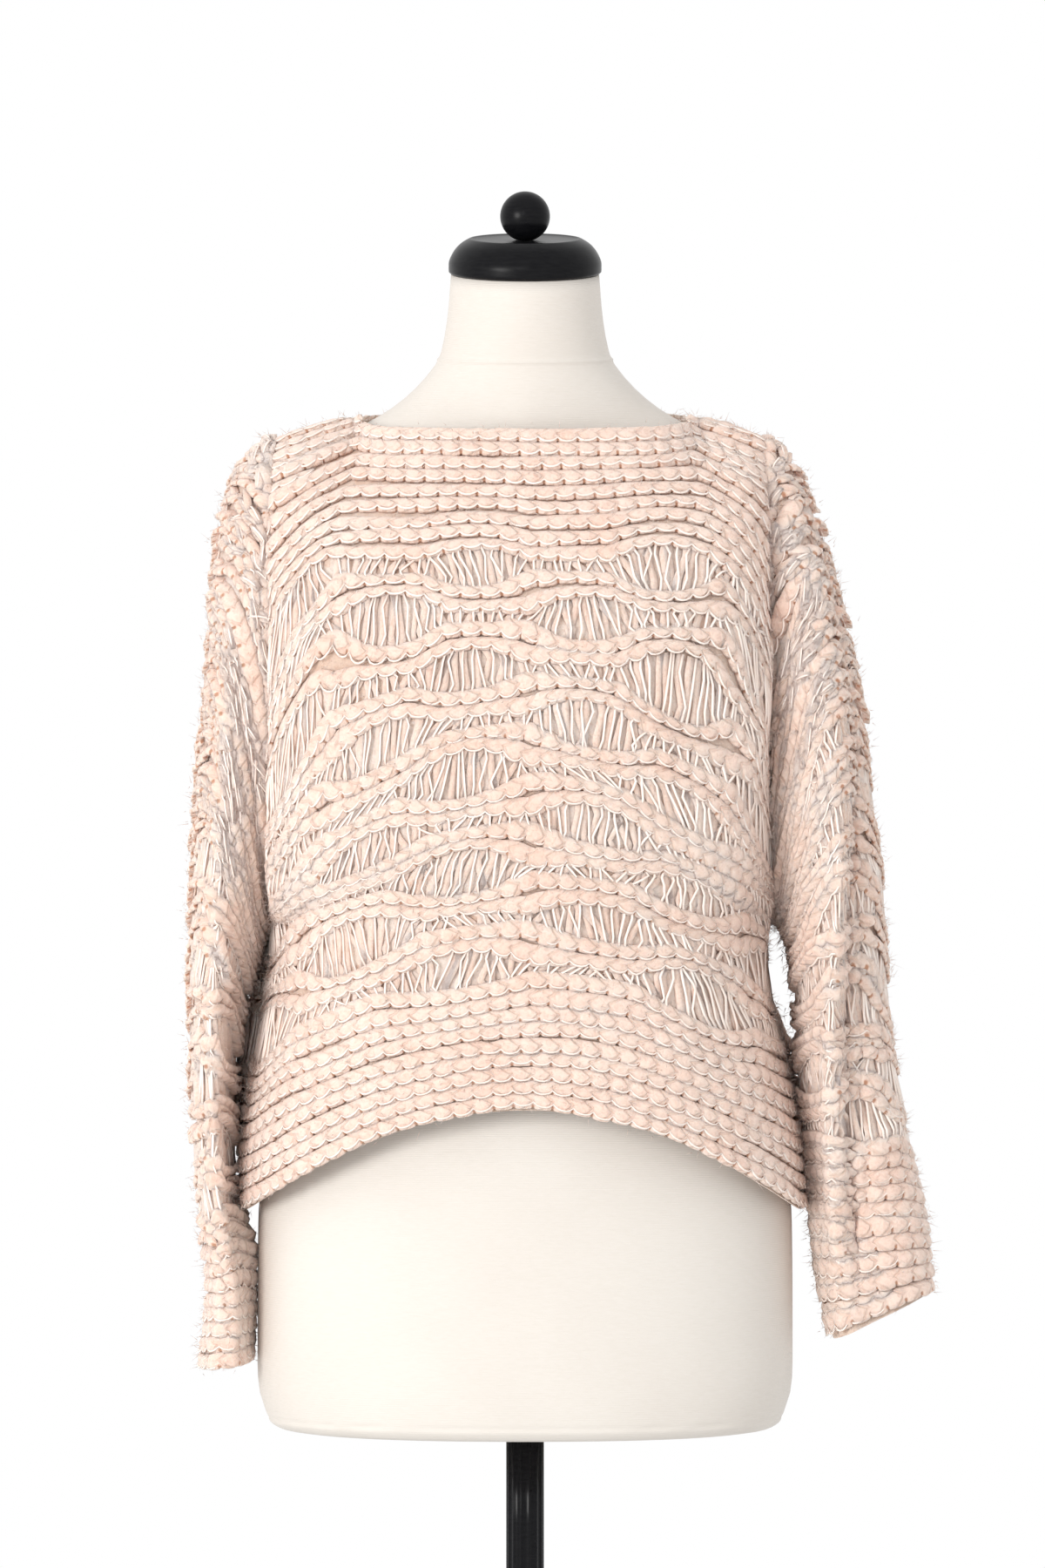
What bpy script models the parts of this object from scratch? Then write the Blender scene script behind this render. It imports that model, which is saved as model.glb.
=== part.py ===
"""A hip-length knit sweater with a boat neck, worn by a limbless dress form on a pole and a round base.

Metres, +Z up, origin on the floor under the pole. The front faces -Y, and the wearer's left is at +X.
The sweater is four walls of cloth: front, back and two sleeves. Their outsides carry the chain ridges of
the knit, which part into lens-shaped windows of long stitches, and their insides are plain.
"""

import math

import bpy
import numpy as np

# Cloth
WALL = 0.0028
RIDGE_HEIGHT = 0.0032
THICKNESS = WALL + RIDGE_HEIGHT
SEAM_GAP = 0.0003

# Knit, measured along the cloth
RIDGE_PITCH = 0.0094
WAVE_PITCH = 0.0321
WAVE_GAP = 0.0156
CLOSED_HALF = 0.0029
OPEN_HALF = 0.0101
LENS_PERIOD = 0.1474
LENS_HALF_WIDTH = 0.043
LENS_SHIFT = {"odd": -0.0393, "even": 0.0445}

# Planes that part the pieces: the shoulder and side seams, and each armhole
SEAM_Y = 0.005
ARMHOLE_X = {"right": -0.170, "left": 0.162}
ARMHOLE_TOP_Z = {"right": 1.380, "left": 1.381}
UNDERARM_Z = {"right": 1.0525, "left": 1.0565}
ARMHOLE_HALF_DEPTH = {"right": 0.082, "left": 0.058}
HEM_SIDE_Z = 0.8665
UNDERARM_AT = 0.644
SHOULDER_REACH = 0.20
INSIDE_CROWDING = 1.4
FLARE_POWER = 14

# Panels: height and depth of the inside along the middle, and how square the section is
FRONT_MIDDLE = (
    # name, z, y, squareness
    ("neckline", 1.3790, -0.0635, 2.0),
    ("collarbone", 1.3440, -0.0810, 2.2),
    ("chest", 1.2980, -0.1070, 2.4),
    ("bust", 1.2286, -0.1345, 2.5),
    ("under bust", 1.1477, -0.1385, 2.5),
    ("waist", 1.0550, -0.1320, 2.4),
    ("hem", 0.9370, -0.1280, 2.6),
)
BACK_MIDDLE = (
    ("neckline", 1.4000, 0.0770, 2.0),
    ("shoulder blades", 1.3440, 0.1000, 2.3),
    ("upper back", 1.2286, 0.1110, 2.5),
    ("waist", 1.0550, 0.1170, 2.5),
    ("hem", 0.9050, 0.1275, 2.6),
)

# Top edge of each panel, from the middle to the armhole: neckline, then shoulder seam
FRONT_TOP = (
    # x, y, z
    (0.000, -0.0635, 1.3790),
    (0.040, -0.0615, 1.3790),
    (0.070, -0.0560, 1.3792),
    (0.088, -0.0470, 1.3800),
    (0.099, -0.0340, 1.3835),
    (0.106, -0.0140, 1.3880),
    (0.111, 0.0050, 1.3890),
    (0.135, 0.0050, 1.3845),
    (0.150, 0.0050, 1.3797),
    (0.160, 0.0050, 1.3758),
)
BACK_TOP = (
    (0.000, 0.0770, 1.4000),
    (0.040, 0.0755, 1.3995),
    (0.070, 0.0670, 1.3975),
    (0.088, 0.0540, 1.3950),
    (0.099, 0.0380, 1.3920),
    (0.106, 0.0200, 1.3898),
    (0.111, 0.0050, 1.3890),
    (0.135, 0.0050, 1.3845),
    (0.150, 0.0050, 1.3797),
    (0.160, 0.0050, 1.3758),
)

# Side seams below the underarm: outside reach, and how far the back stands out behind the seam
SIDE_SEAM = {
    "right": (
        # z, x, flare of the back
        (1.0525, -0.1700, 0.000),
        (1.0321, -0.1711, 0.009),
        (1.0090, -0.1740, 0.013),
        (0.9800, -0.1774, 0.016),
        (0.9512, -0.1832, 0.013),
        (0.9165, -0.1884, 0.008),
        (0.8876, -0.1902, 0.004),
        (0.8665, -0.1900, 0.001),
    ),
    "left": (
        (1.0565, 0.1620, 0.000),
        (1.0321, 0.1620, 0.003),
        (1.0090, 0.1645, 0.003),
        (0.9800, 0.1706, 0.006),
        (0.9512, 0.1762, 0.009),
        (0.9165, 0.1828, 0.006),
        (0.8876, 0.1864, 0.003),
        (0.8665, 0.1876, 0.001),
    ),
}

# Sleeves: outer and inner ends of each section in the front view, its half depth and middle,
# and where a fold runs down its front, as a part of the way from the inner end to the outer one
SLEEVE_SECTIONS = {
    "right": (
        # outer x, outer z, inner x, inner z, half depth, middle y, fold at
        (-0.1703, 1.3800, -0.1703, 1.0525, 0.0820, 0.005, 0.90),
        (-0.1838, 1.3674, -0.1722, 1.0512, 0.0840, 0.004, 0.86),
        (-0.1971, 1.3385, -0.1746, 1.0466, 0.0850, 0.003, 0.82),
        (-0.2040, 1.2960, -0.1780, 1.0379, 0.0850, 0.001, 0.78),
        (-0.2060, 1.2518, -0.1815, 1.0275, 0.0840, 0.000, 0.74),
        (-0.2098, 1.2055, -0.1855, 1.0148, 0.0825, -0.002, 0.70),
        (-0.2144, 1.1593, -0.1896, 1.0003, 0.0800, -0.004, 0.66),
        (-0.2191, 1.0668, -0.1948, 0.9668, 0.0735, -0.006, 0.60),
        (-0.2202, 0.9743, -0.1962, 0.9211, 0.0660, -0.008, 0.54),
        (-0.2170, 0.8960, -0.1942, 0.8700, 0.0590, -0.008, 0.50),
        (-0.2125, 0.8529, -0.1890, 0.8400, 0.0550, -0.007, 0.48),
        (-0.2098, 0.8183, -0.1838, 0.8107, 0.0520, -0.006, 0.46),
        (-0.2168, 0.7616, -0.1803, 0.7691, 0.0490, -0.005, 0.46),
    ),
    "left": (
        (0.1623, 1.3810, 0.1623, 1.0565, 0.0580, 0.005, 0.98),
        (0.1746, 1.3674, 0.1665, 1.0555, 0.0690, 0.004, 0.97),
        (0.1931, 1.3269, 0.1711, 1.0530, 0.0790, 0.002, 0.94),
        (0.2052, 1.2807, 0.1751, 1.0460, 0.0850, 0.000, 0.90),
        (0.2150, 1.2402, 0.1774, 1.0375, 0.0880, -0.002, 0.84),
        (0.2214, 1.2055, 0.1792, 1.0270, 0.0880, -0.004, 0.77),
        (0.2260, 1.1651, 0.1803, 1.0140, 0.0860, -0.006, 0.69),
        (0.2358, 1.0841, 0.1821, 0.9801, 0.0790, -0.008, 0.56),
        (0.2416, 0.9974, 0.1844, 0.9368, 0.0690, -0.009, 0.48),
        (0.2537, 0.9194, 0.1893, 0.8876, 0.0590, -0.008, 0.40),
        (0.2676, 0.8587, 0.1918, 0.8356, 0.0510, -0.006, 0.34),
        (0.2705, 0.8327, 0.1950, 0.8067, 0.0480, -0.005, 0.32),
        (0.2717, 0.8136, 0.2006, 0.7790, 0.0450, -0.004, 0.32),
    ),
}
FOLD_DEPTH = {"right": 0.06, "left": 0.24}
OUTER_LOBE = {"right": 0.03, "left": 0.26}
FOLD_WIDTH = 0.11
SLEEVE_SQUARENESS = 2.25

# How many ridges run across each piece above, within and below its rows of windows
PANEL_PLAN = {"above": 9, "waves": 9, "below": 9}
SLEEVE_PLAN = {"above": 4, "waves": 15, "below": 10}

# Dress form
FORM_SECTIONS = (
    # name, z, half width, front, back, middle y, lean in degrees, squareness
    ("underside", 0.7200, 0.1500, 0.0980, 0.1020, 0.000, 0.0, 2.2),
    ("bottom fold", 0.7225, 0.1640, 0.1055, 0.1100, 0.000, 0.0, 2.2),
    ("bottom roll", 0.7270, 0.1700, 0.1098, 0.1145, 0.000, 0.0, 2.2),
    ("roll top", 0.7330, 0.1720, 0.1112, 0.1160, 0.000, 0.0, 2.2),
    ("lower hip", 0.7480, 0.1765, 0.1140, 0.1195, 0.000, 0.0, 2.2),
    ("low hip", 0.7700, 0.1775, 0.1150, 0.1210, 0.000, 0.0, 2.2),
    ("hip", 0.8600, 0.1770, 0.1130, 0.1210, 0.000, 0.0, 2.2),
    ("high hip", 0.9250, 0.1640, 0.1060, 0.1080, 0.000, 0.0, 2.2),
    ("waist", 1.0050, 0.1270, 0.0920, 0.0840, 0.000, 0.0, 2.2),
    ("ribs", 1.0600, 0.1290, 0.1000, 0.0840, 0.000, 0.0, 2.2),
    ("under bust", 1.1200, 0.1390, 0.1120, 0.0900, 0.000, 0.0, 2.2),
    ("bust", 1.1900, 0.1500, 0.1280, 0.0960, 0.000, 0.0, 2.2),
    ("upper bust", 1.2500, 0.1530, 0.1120, 0.1000, 0.000, 0.0, 2.2),
    ("chest", 1.3050, 0.1550, 0.0900, 0.0970, 0.000, 0.0, 2.1),
    ("shoulder plate", 1.3400, 0.1560, 0.0740, 0.0890, 0.000, 0.0, 1.9),
    ("shoulder tip", 1.3575, 0.1510, 0.0620, 0.0790, 0.000, 0.0, 1.65),
    ("shoulder", 1.3700, 0.1395, 0.0580, 0.0720, 0.000, 0.0, 1.55),
    ("shoulder top", 1.3795, 0.1228, 0.0560, 0.0690, 0.000, 1.0, 1.55),
    ("neck foot", 1.3872, 0.1055, 0.0540, 0.0670, -0.002, 2.0, 1.6),
    ("neck flare", 1.3990, 0.0860, 0.0515, 0.0640, -0.004, 3.0, 1.7),
    ("neck curve", 1.4136, 0.0695, 0.0490, 0.0585, -0.006, 4.5, 1.9),
    ("neck seam", 1.4295, 0.0575, 0.0470, 0.0550, -0.008, 6.0, 2.0),
    ("neck", 1.4530, 0.0520, 0.0480, 0.0530, -0.011, 8.0, 2.0),
    ("neck top", 1.4850, 0.0490, 0.0490, 0.0500, -0.015, 9.5, 2.0),
)
FORM_POINTS = 32

# Turned pieces: radius and height of each profile point
CAP_PROFILE = (
    (0.0485, 0.0000),
    (0.0506, 0.0020),
    (0.0506, 0.0065),
    (0.0485, 0.0130),
    (0.0440, 0.0190),
    (0.0385, 0.0228),
    (0.0360, 0.0238),
    (0.0345, 0.0232),
    (0.0200, 0.0226),
)
CAP_POINTS = 30
KNOB_RADIUS = 0.0165
KNOB_FOOT_RADIUS = 0.0060
KNOB_RINGS = 10
KNOB_POINTS = 20
POLE_RADIUS = 0.0125
POLE_FLUTES = 14
POLE_FLUTE_DEPTH = 0.0010
BASE_PROFILE = (
    (0.1690, 0.0000),
    (0.1720, 0.0035),
    (0.1715, 0.0085),
    (0.1670, 0.0120),
    (0.0600, 0.0150),
    (0.0340, 0.0180),
    (0.0250, 0.0240),
    (0.0220, 0.0400),
)
BASE_POINTS = 32

SIDES = {"right": -1, "left": 1}


def clear_scene():
    for item in list(bpy.data.objects):
        bpy.data.objects.remove(item, do_unlink=True)


def material(name, colour, roughness, metallic=0.0):
    made = bpy.data.materials.new(name)
    made.use_nodes = True
    shader = made.node_tree.nodes["Principled BSDF"]
    shader.inputs["Base Color"].default_value = (*colour, 1.0)
    shader.inputs["Roughness"].default_value = roughness
    shader.inputs["Metallic"].default_value = metallic
    return made


def smooth(at, knots, values):
    """A curve through the values with no overshoot between them."""
    knots = np.asarray(knots, float)
    values = np.asarray(values, float)
    steps = np.diff(knots)
    slopes = np.diff(values) / steps
    tangents = np.concatenate([slopes[:1], (slopes[1:] + slopes[:-1]) / 2, slopes[-1:]])
    turns = slopes[1:] * slopes[:-1] <= 0
    tangents[1:-1][turns] = 0
    limit = 3 * np.minimum(np.abs(slopes[1:]), np.abs(slopes[:-1]))
    tangents[1:-1] = np.clip(tangents[1:-1], -limit, limit)
    at = np.clip(at, knots[0], knots[-1])
    cell = np.clip(np.searchsorted(knots, at, side="right") - 1, 0, len(steps) - 1)
    t = (at - knots[cell]) / steps[cell]
    start, end = values[cell], values[cell + 1]
    bend_in, bend_out = tangents[cell] * steps[cell], tangents[cell + 1] * steps[cell]
    return (
        start * (1 + 2 * t) * (1 - t) ** 2
        + end * t * t * (3 - 2 * t)
        + bend_in * t * (1 - t) ** 2
        - bend_out * t * t * (1 - t)
    )


def ease(t):
    t = np.clip(t, 0, 1)
    return t * t * (3 - 2 * t)


def column(table, index):
    return [row[index] for row in table]


def along_curve(points, count):
    """The curve at evenly spaced lengths."""
    lengths = np.concatenate([[0], np.cumsum(np.linalg.norm(np.diff(points, axis=0), axis=1))])
    wanted = np.linspace(0, lengths[-1], count)
    return np.stack([np.interp(wanted, lengths, points[:, k]) for k in range(3)], axis=1)


# Panels


def armhole_edge(side, toward, part):
    """Edge of a panel down its armhole, from the shoulder at 0 to the underarm at 1."""
    angle = np.pi * part
    half = (ARMHOLE_TOP_Z[side] - UNDERARM_Z[side]) / 2 - THICKNESS
    middle = (ARMHOLE_TOP_Z[side] + UNDERARM_Z[side]) / 2
    depth = ARMHOLE_HALF_DEPTH[side] - THICKNESS
    round_out = np.abs(np.sin(angle)) ** (2 / SLEEVE_SQUARENESS)
    upright = np.sign(np.cos(angle)) * np.abs(np.cos(angle)) ** (2 / SLEEVE_SQUARENESS)
    inset = SEAM_GAP + THICKNESS * ease(part / 0.25)
    return np.array(
        [
            ARMHOLE_X[side] - SIDES[side] * inset,
            SEAM_Y + toward * depth * round_out,
            middle + half * upright,
        ]
    )


def side_edge(side, part):
    """Side seam from the underarm at 0 to the hem at 1."""
    rows = SIDE_SEAM[side][::-1]
    top = UNDERARM_Z[side] + THICKNESS
    z = top + (HEM_SIDE_Z - top) * part
    x = smooth(z, column(rows, 0), column(rows, 1))
    return np.array([x - SIDES[side] * (THICKNESS + SEAM_GAP), SEAM_Y, z])


def panel_edge(side, toward, v):
    if v < UNDERARM_AT:
        return armhole_edge(side, toward, v / UNDERARM_AT)
    return side_edge(side, (v - UNDERARM_AT) / (1 - UNDERARM_AT))


def half_row(middle, side, toward, v, count):
    """Half of a row of the panel, from its middle to one edge, at evenly spaced lengths."""
    heights, depths, powers = column(middle, 1), column(middle, 2), column(middle, 3)
    at = [(heights[0] - z) / (heights[0] - heights[-1]) for z in heights]
    z_middle = heights[0] + (heights[-1] - heights[0]) * v
    y_middle = smooth(v, at, depths)
    power = 2 / smooth(v, at, powers)
    edge = panel_edge(side, toward, v)
    angle = np.linspace(0, np.pi / 2, 61)
    out = np.sin(angle) ** power
    forward = np.abs(np.cos(angle)) ** power
    points = np.stack(
        [
            edge[0] * out,
            edge[1] + (y_middle - edge[1]) * forward,
            z_middle + (edge[2] - z_middle) * out**2,
        ],
        axis=1,
    )
    if toward > 0:
        rows = SIDE_SEAM[side][::-1]
        flare = smooth(edge[2], column(rows, 0), column(rows, 2))
        behind_seam = np.sin(angle) ** FLARE_POWER * np.cos(angle)
        points[:, 0] += SIDES[side] * flare * behind_seam / behind_seam.max()
    return along_curve(points, count)


def half_top(top, side, count):
    """Half of the top edge of a panel: neckline, then shoulder seam."""
    end = armhole_edge(side, 0, 0.0)
    points = [(SIDES[side] * x, y, z) for x, y, z in top if x < abs(end[0])]
    points = np.array([*points, tuple(end)])
    return along_curve(points, count)


def panel_surface(middle, top, toward, rows=161, columns=61):
    """The inside of a panel as a grid: row 0 is the top edge and column 0 is at the wearer's right."""
    halves = []
    for side in SIDES:
        base = np.array([half_row(middle, side, toward, v, columns) for v in np.linspace(0, 1, rows)])
        lift = half_top(top, side, columns) - base[0]
        fade = 1 - ease(np.linspace(0, 1, rows) / SHOULDER_REACH)
        halves.append(base + fade[:, None, None] * lift)
    return np.concatenate([halves[0][:, :0:-1], halves[1]], axis=1)


# Sleeves


def sleeve_surface(side, inset=0.0, rows=161, columns=121):
    """A sleeve as a grid: row 0 is the armhole, and each row starts at the outer end and runs over the front."""
    table = SLEEVE_SECTIONS[side]
    outer = np.array([(row[0], row[1]) for row in table])
    lengths = np.concatenate([[0], np.cumsum(np.linalg.norm(np.diff(outer, axis=0), axis=1))])
    at = lengths / lengths[-1]
    v = np.linspace(0, 1, rows)
    ox, oz, ix, iz, depth, middle, fold = (smooth(v, at, column(table, k))[:, None] for k in range(7))
    angle = np.linspace(0, 2 * np.pi, columns)[None, :]
    power = 2 / SLEEVE_SQUARENESS
    across = np.sign(np.cos(angle)) * np.abs(np.cos(angle)) ** power
    around = np.sign(np.sin(angle)) * np.abs(np.sin(angle)) ** power
    reach = np.hypot(ox - ix, oz - iz) / 2 - inset
    unit_x, unit_z = (ox - ix) / 2 / (reach + inset), (oz - iz) / 2 / (reach + inset)
    place = (1 + across) / 2
    start = ease(v / 0.08)[:, None]
    crease = FOLD_DEPTH[side] * np.exp(-(((place - fold) / FOLD_WIDTH) ** 2))
    lobe = OUTER_LOBE[side] * ease((place - fold) / 0.15)
    shrink = np.where(around > 0, 1 - start * (crease + lobe), 1.0)
    return np.stack(
        [
            (ox + ix) / 2 + unit_x * reach * across,
            middle - (depth - inset) * around * shrink,
            (oz + iz) / 2 + unit_z * reach * across,
        ],
        axis=2,
    )


# Knit relief


def lens(distance):
    """How far a window is open at this distance from its middle."""
    wrapped = (distance + LENS_PERIOD / 2) % LENS_PERIOD - LENS_PERIOD / 2
    return np.clip(1 - (wrapped / LENS_HALF_WIDTH) ** 2, 0, 1)


def wave_half(row, across):
    """Half height of a row of windows, across the cloth."""
    shift = LENS_SHIFT["even" if row % 2 else "odd"]
    size = 1 + 0.14 * np.sin(2.3 * row + 21 * across)
    return CLOSED_HALF + OPEN_HALF * size * lens(across - shift)


def knit_lines(plan, across):
    """Crests and troughs of the knit: for each, its distance down the cloth across it, and its height."""
    above, waves, below = plan["above"], plan["waves"], plan["below"]
    wave_top = above * RIDGE_PITCH
    centres = [wave_top + WAVE_GAP / 2 + row * WAVE_PITCH for row in range(waves)]
    total = centres[-1] + WAVE_GAP / 2 + below * RIDGE_PITCH
    crests = []
    first_shift = centres[0] - wave_half(0, across) - wave_top
    for k in range(above):
        share = (k + 0.5) / above
        crests.append(wave_top * share + first_shift * share**3)
    for row in range(waves - 1):
        top = centres[row] + wave_half(row, across)
        bottom = centres[row + 1] - wave_half(row + 1, across)
        crests += [top + (bottom - top) * share for share in (0.25, 0.75)]
    last_top = centres[-1] + WAVE_GAP / 2
    last_shift = centres[-1] + wave_half(waves - 1, across) - last_top
    for k in range(below):
        share = (k + 0.5) / below
        crests.append(last_top + below * RIDGE_PITCH * share + last_shift * (1 - share) ** 3)
    lines = [(np.zeros_like(across), 0.4)]
    for k, crest in enumerate(crests):
        if k:
            lines.append(((crests[k - 1] + crest) / 2, 0.0))
        lines.append((crest, 1.0))
    lines.append((np.full_like(across, total), 0.4))
    places = np.array([line for line, _ in lines]) / total
    heights = np.array([height for _, height in lines])
    return places, heights


# Meshes


def normals_of(grid, around=False):
    if around:
        padded = np.concatenate([grid[:, -3:-1], grid, grid[:, 1:3]], axis=1)
        across = np.gradient(padded, axis=1)[:, 2:-2]
    else:
        across = np.gradient(grid, axis=1)
    down = np.gradient(grid, axis=0)
    normal = np.cross(across, down)
    return normal / np.maximum(np.linalg.norm(normal, axis=2, keepdims=True), 1e-12)


def sample(grid, v, u):
    """The grid at places v down and u across, both from 0 to 1."""
    rows, columns = grid.shape[:2]
    r = np.clip(v, 0, 1) * (rows - 1)
    c = np.clip(u, 0, 1) * (columns - 1)
    r0 = np.minimum(r.astype(int), rows - 2)
    c0 = np.minimum(c.astype(int), columns - 2)
    fr, fc = (r - r0)[..., None], (c - c0)[..., None]
    upper = grid[r0, c0] * (1 - fc) + grid[r0, c0 + 1] * fc
    lower = grid[r0 + 1, c0] * (1 - fc) + grid[r0 + 1, c0 + 1] * fc
    return upper * (1 - fr) + lower * fr


def strip(first, second):
    """Triangles between two lines of point numbers that may have different counts."""
    faces = []
    i = j = 0
    while i < len(first) - 1 or j < len(second) - 1:
        next_first = (i + 1) / (len(first) - 1)
        next_second = (j + 1) / (len(second) - 1)
        if j == len(second) - 1 or (i < len(first) - 1 and next_first <= next_second):
            faces.append((first[i], first[i + 1], second[j]))
            i += 1
        else:
            faces.append((first[i], second[j + 1], second[j]))
            j += 1
    return faces


def grid_faces(numbers, flip=False):
    faces = []
    for r in range(numbers.shape[0] - 1):
        for c in range(numbers.shape[1] - 1):
            a, b = numbers[r, c], numbers[r, c + 1]
            d, e = numbers[r + 1, c], numbers[r + 1, c + 1]
            faces += [(a, e, b), (a, d, e)] if flip else [(a, b, e), (a, e, d)]
    return faces


def volume(points, faces):
    corners = points[np.array(faces)]
    return np.einsum("ij,ij->i", corners[:, 0], np.cross(corners[:, 1], corners[:, 2])).sum() / 6


def make_object(name, points, faces, finish, crease=math.radians(40)):
    if volume(points, faces) < 0:
        faces = [face[::-1] for face in faces]
    mesh = bpy.data.meshes.new(name)
    mesh.from_pydata([tuple(point) for point in points], [], faces)
    mesh.validate()
    mesh.materials.append(finish)
    mesh.shade_smooth()
    mesh.set_sharp_from_angle(angle=crease)
    made = bpy.data.objects.new(name, mesh)
    bpy.context.scene.collection.objects.link(made)
    return made


def wall(name, outside, inside, finish, tube):
    """A closed wall between two grids: an open panel, or a tube that is open at both ends."""
    if tube:
        outside, inside = outside[:, :-1], inside[:, :-1]
    points = np.concatenate([outside.reshape(-1, 3), inside.reshape(-1, 3)])
    outer = np.arange(outside.shape[0] * outside.shape[1]).reshape(outside.shape[:2])
    inner = np.arange(inside.shape[0] * inside.shape[1]).reshape(inside.shape[:2]) + outer.size
    if tube:
        outer = np.concatenate([outer, outer[:, :1]], axis=1)
        inner = np.concatenate([inner, inner[:, :1]], axis=1)
    faces = grid_faces(outer) + grid_faces(inner, flip=True)
    faces += [face[::-1] for face in strip(outer[0], inner[0])]
    faces += strip(outer[-1], inner[-1])
    if not tube:
        faces += strip(outer[:, 0], inner[:, 0])
        faces += [face[::-1] for face in strip(outer[:, -1], inner[:, -1])]
    return make_object(name, points, faces, finish)


def keep_in_seams(points, toward):
    """Keeps a panel's points on its side of the seam planes."""
    kept = points.copy()
    if toward < 0:
        kept[..., 1] = np.minimum(kept[..., 1], SEAM_Y - SEAM_GAP / 2)
    else:
        kept[..., 1] = np.maximum(kept[..., 1], SEAM_Y + SEAM_GAP / 2)
    for side, sign in SIDES.items():
        limit = ARMHOLE_X[side] - sign * SEAM_GAP
        over = (kept[..., 2] > UNDERARM_Z[side] - 0.004) & (sign * kept[..., 0] > sign * limit)
        kept[..., 0] = np.where(over, limit, kept[..., 0])
    return kept


def make_panel(name, middle, top, toward, finish, columns=19, inside_rows=20, inside_columns=19):
    surface = panel_surface(middle, top, toward)
    normals = normals_of(surface) * toward
    u = np.linspace(0, 1, columns)
    row = surface[surface.shape[0] // 2]
    width = np.linalg.norm(np.diff(row, axis=0), axis=1).sum()
    places, heights = knit_lines(PANEL_PLAN, (u - 0.5) * width)
    u_grid = np.broadcast_to(u, places.shape)
    lift = WALL + RIDGE_HEIGHT * heights[:, None, None]
    outside = sample(surface, places, u_grid) + sample(normals, places, u_grid) * lift
    v_in = np.linspace(0, 1, inside_rows)[:, None] ** INSIDE_CROWDING * np.ones(inside_columns)
    even = np.linspace(0, 1, inside_columns)
    u_in = np.ones((inside_rows, 1)) * (even + 0.5 - 0.5 * np.cos(np.pi * even)) / 2
    inside = sample(surface, v_in, u_in)
    return wall(name, keep_in_seams(outside, toward), keep_in_seams(inside, toward), finish, tube=False)


def make_sleeve(name, side, finish, columns=15, inside_rows=17, inside_columns=13):
    surface = sleeve_surface(side)
    u = np.linspace(0, 1, columns)
    girth = np.linalg.norm(np.diff(surface[surface.shape[0] // 2], axis=0), axis=1).sum()
    places, heights = knit_lines(SLEEVE_PLAN, np.abs(u - 0.5) * girth)
    u_grid = np.broadcast_to(u, places.shape)
    crest = sample(surface, places, u_grid)
    trough = sample(sleeve_surface(side, inset=RIDGE_HEIGHT), places, u_grid)
    share = heights[:, None, None]
    outside = trough * (1 - share) + crest * share
    v_in = np.linspace(0, 1, inside_rows)[:, None] * np.ones(inside_columns)
    u_in = np.ones((inside_rows, 1)) * np.linspace(0, 1, inside_columns)
    inside = sample(sleeve_surface(side, inset=THICKNESS), v_in, u_in)
    return wall(name, outside, inside, finish, tube=True)


def close_rings(name, rings, finish, crease=math.radians(50)):
    """A solid through rings of points from bottom to top, closed with a flat face at each end."""
    count = rings.shape[1]
    ends = [rings[0].mean(axis=0)[None], rings[-1].mean(axis=0)[None]]
    points = np.concatenate([rings.reshape(-1, 3), *ends])
    numbers = np.arange(rings.shape[0] * count).reshape(rings.shape[:2])
    numbers = np.concatenate([numbers, numbers[:, :1]], axis=1)
    faces = grid_faces(numbers)
    low, high = len(points) - 2, len(points) - 1
    for c in range(count):
        faces.append((numbers[0, c + 1], numbers[0, c], low))
        faces.append((numbers[-1, c], numbers[-1, c + 1], high))
    return make_object(name, points, faces, finish, crease)


def form_rings():
    rings = []
    angle = np.linspace(0, 2 * np.pi, FORM_POINTS, endpoint=False)
    for _, z, half_width, front, back, middle, lean, squareness in FORM_SECTIONS:
        power = 2 / squareness
        across = np.sign(np.cos(angle)) * np.abs(np.cos(angle)) ** power
        around = np.sign(np.sin(angle)) * np.abs(np.sin(angle)) ** power
        deep = np.where(around < 0, front, back) * around
        tilt = math.radians(lean)
        ring = [half_width * across, middle + deep * math.cos(tilt), z + deep * math.sin(tilt)]
        rings.append(np.stack(ring, axis=1))
    return np.array(rings)


def turned(profile, count):
    angle = np.linspace(0, 2 * np.pi, count, endpoint=False)
    circle = np.stack([np.cos(angle), np.sin(angle), np.zeros(count)], axis=1)
    return np.array([circle * radius + np.array([0, 0, z]) for radius, z in profile])


def lean_onto_neck(rings, rise):
    """Sets turned rings on the leaning top of the neck."""
    _, z, _, _, _, middle, lean, _ = FORM_SECTIONS[-1]
    tilt = math.radians(lean)
    y, up = rings[..., 1], rings[..., 2] + rise
    placed = rings.copy()
    placed[..., 1] = middle + y * math.cos(tilt) - up * math.sin(tilt)
    placed[..., 2] = z + y * math.sin(tilt) + up * math.cos(tilt)
    return placed


def knob_profile():
    low = math.asin(KNOB_FOOT_RADIUS / KNOB_RADIUS)
    angles = np.linspace(low, math.pi - 0.15, KNOB_RINGS)
    foot = KNOB_RADIUS * math.cos(low)
    return [(KNOB_RADIUS * math.sin(a), foot - KNOB_RADIUS * math.cos(a)) for a in angles]


def pole_rings():
    count = POLE_FLUTES * 2
    angle = np.linspace(0, 2 * np.pi, count, endpoint=False)
    radius = POLE_RADIUS - POLE_FLUTE_DEPTH * (np.arange(count) % 2)
    foot = BASE_PROFILE[-1][1] + SEAM_GAP
    top = FORM_SECTIONS[0][1] - SEAM_GAP
    outline = np.stack([radius * np.cos(angle), radius * np.sin(angle), np.zeros(count)], axis=1)
    return np.array([outline + np.array([0, 0, z]) for z in (foot, top)])


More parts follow.
